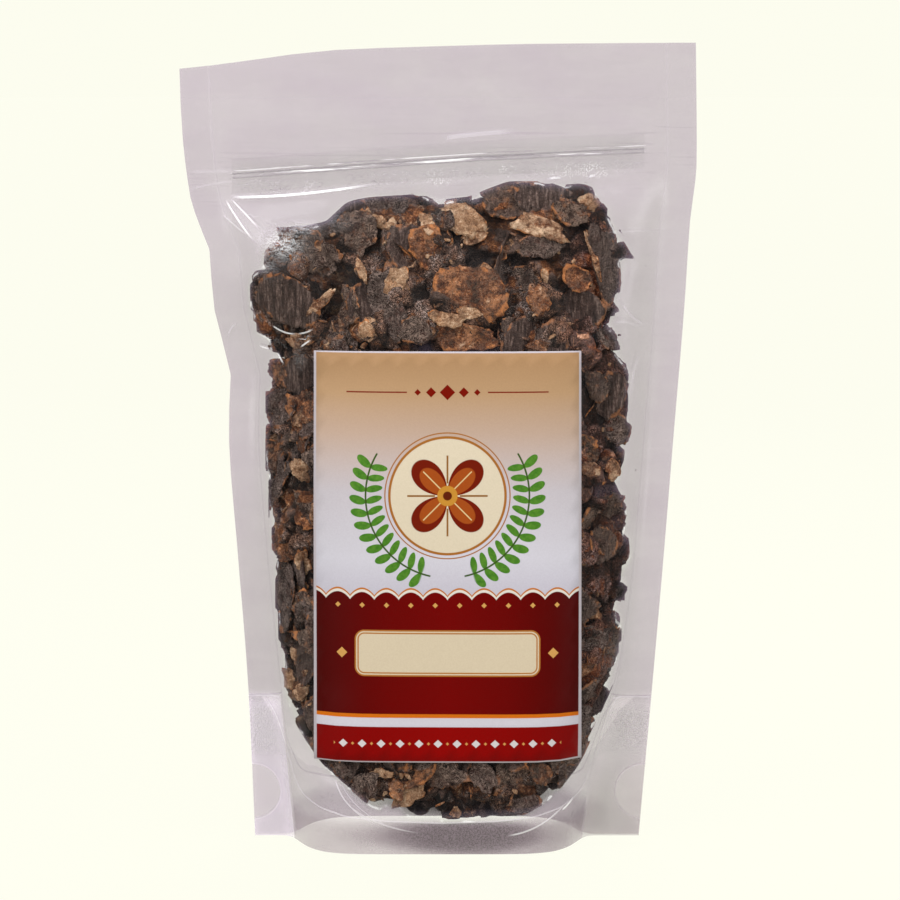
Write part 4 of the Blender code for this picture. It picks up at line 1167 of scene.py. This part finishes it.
def labelPaint():
    sizes = labelPrint
    paint = Paint("labelPaper", Roughness=0.42, SpecularIORLevel=0.04)
    x, y, z = paint.axes(millimetres(paint))
    u, v = x - sizes["middle"], z - sizes["foot"]
    soft = 0.12

    def below(value, limit, blur=soft):
        return paint.step(value, limit - blur, limit + blur, 1.0, 0.0)

    def ring(value, radius, width):
        return below((value - radius).size(), width)

    aside = u.size()
    ground = paint.ramp(v / sizes["height"], (
        (0.38, ink(206, 200, 216)), (0.50, ink(226, 222, 234)), (0.66, ink(214, 206, 214)), (0.80, ink(206, 178, 160)),
        (0.90, ink(198, 160, 122)), (1.0, ink(184, 143, 104))))
    tone = ground
    # the roundel, its petals and the wreath round it
    rise = v - sizes["roundelAt"]
    radius = (u ** 2 + rise ** 2).root()
    turn = u.maths("ARCTAN2", u, rise)
    tone = paint.colour(below(radius, sizes["roundel"]), tone, ink(238, 222, 196))
    petal = (turn * 2).sine().size() ** 0.75 * 15.5
    tone = paint.colour(below(radius, petal, 0.2), tone, ink(122, 34, 16))
    inner = (turn * 2).sine().size() ** 1.1 * 12.2
    tone = paint.colour(below(radius, inner, 0.3), tone, ink(176, 84, 34))
    vein = below((aside - rise.size()).size(), 0.28)
    tone = paint.colour(vein * below(radius, 11.5), tone, ink(238, 208, 150))
    cross = below(aside.least(rise.size()), 0.30) * below(radius, 13.5) * (1 - below(radius, 4.2))
    tone = paint.colour(cross, tone, ink(150, 100, 44))
    tone = paint.colour(below(radius, 3.4), tone, ink(214, 150, 60))
    tone = paint.colour(below(radius, 1.5), tone, ink(104, 40, 18))
    tone = paint.colour(ring(radius, sizes["roundel"], 0.42).most(ring(radius, sizes["roundel"] + 1.5, 0.2)), tone,
                        ink(176, 112, 52))
    down = u.maths("ARCTAN2", aside, rise * -1)  # 0 straight below the roundel
    leafTurn = down / 0.145
    leafAt = (leafTurn.repeat() - 0.5) * 0.145 * 27.5
    shade = paint.noise(paint.object, 700, detail=2)
    for middle, lean in ((30.4, 0.42), (24.6, -0.42)):
        length = radius - (27.5 + (middle - 27.5) * 0.95)
        leaf = ((leafAt - length * lean * 0.6) / 1.35) ** 2 + (length / 2.75) ** 2
        mask = below(leaf, 1.0, 0.08) * paint.step(down, 0.30, 0.33) * paint.step(down, 2.02, 2.05, 1.0, 0.0)
        green = paint.colour(shade, ink(38, 104, 30), ink(112, 164, 62))
        tone = paint.colour(mask, tone, green)
    stem = ring(radius, 27.5, 0.3) * paint.step(down, 0.2, 0.22) * paint.step(down, 2.1, 2.12, 1.0, 0.0)
    tone = paint.colour(stem, tone, ink(64, 92, 36))
    # small diamonds and a rule at the top
    top = (v - 124.5).size()
    diamonds = below((aside - 5.5).size() + top, 1.7).most(below(aside + top, 2.6)).most(below((aside - 10).size() + top, 1.1))
    rules = below(top, 0.22) * paint.step(aside, 13.5, 13.7) * below(aside, 34)
    tone = paint.colour(diamonds.most(rules), tone, ink(128, 26, 12))
    # the dark block, its scalloped top and its blank plate
    scallop = (u * (math.pi / sizes["scallop"])).sine().size() ** 0.8 * 2.6
    edge = v - scallop
    tone = paint.colour(below(edge, sizes["block"] + 1.5), tone, ink(206, 122, 50))
    tone = paint.colour(below(edge, sizes["block"] + 0.9), tone, ink(244, 236, 226))
    block = paint.ramp(aside / 44, ((0.0, ink(122, 5, 1)), (0.45, ink(112, 5, 1)), (1.0, ink(80, 5, 2))))
    tone = paint.colour(below(edge, sizes["block"]), tone, block)
    dots = below(((u / sizes["scallop"]).repeat() - 0.5).size() * sizes["scallop"] + (v - 53.2).size(), 0.9)
    tone = paint.colour(dots, tone, ink(226, 170, 96))
    plateX = (aside - sizes["plateSize"][0] + 3).most(0)
    plateY = ((v - sizes["plateAt"]).size() - sizes["plateSize"][1] + 3).most(0)
    plate = (plateX ** 2 + plateY ** 2).root()
    tone = paint.colour(below(plate, 3.0), tone, ink(232, 214, 186))
    tone = paint.colour(ring(plate, 2.1, 0.22).most(ring(plate, 3.0, 0.25)), tone, ink(190, 122, 58))
    small = below((aside - 35.6).size() + (v - sizes["plateAt"]).size(), 1.8)
    tone = paint.colour(small, tone, ink(226, 170, 96))
    # the stripes and the strip at the foot
    tone = paint.colour(below(v, sizes["orange"]), tone, ink(226, 118, 28))
    tone = paint.colour(below(v, sizes["white"]), tone, ink(226, 220, 232))
    strip = paint.ramp(aside / 44, ((0.0, ink(154, 6, 1)), (1.0, ink(136, 5, 1))))
    tone = paint.colour(below(v, sizes["strip"]), tone, strip)
    row = (u / 6.4).repeat()
    lozenges = below((row - 0.5).size() * 6.4 + (v - 6.4).size() * 1.1, 1.5) * below(aside, 38.4)
    tone = paint.colour(lozenges, tone, ink(232, 224, 226))
    specks = below((row - 0.5).size() * -6.4 + 3.2 + (v - 6.4).size(), 0.55) * below(aside, 38.4)
    tone = paint.colour(specks, tone, ink(226, 160, 90))
    paper = paint.step((aside - (sizes["width"] / 2 - sizes["margin"])).most(
        (v - sizes["height"] / 2).size() - (sizes["height"] / 2 - sizes["margin"])), -soft, soft)
    tone = paint.colour(paper, tone, ink(216, 206, 214))
    weave = paint.noise(paint.object, 1800, detail=2)
    tone = paint.colour(paint.step(weave, 0.3, 0.7, 0.0, 0.05), tone, (0.05, 0.015, 0.010))
    wave = paint.noise(paint.object, 26, detail=2)
    return paint.show(BaseColor=tone, Normal=paint.relief(wave + weave * 0.02, 0.0012, 0.5),
                      Roughness=0.36 + weave * 0.1)


labelMaterial = labelPaint()
label = copyOfNode("front_label", "printed_label")
modify(label, "SUBSURF", subdivision_type="SIMPLE", levels=1, render_levels=1)
handOver(label, labelMaterial, ["front_label"])
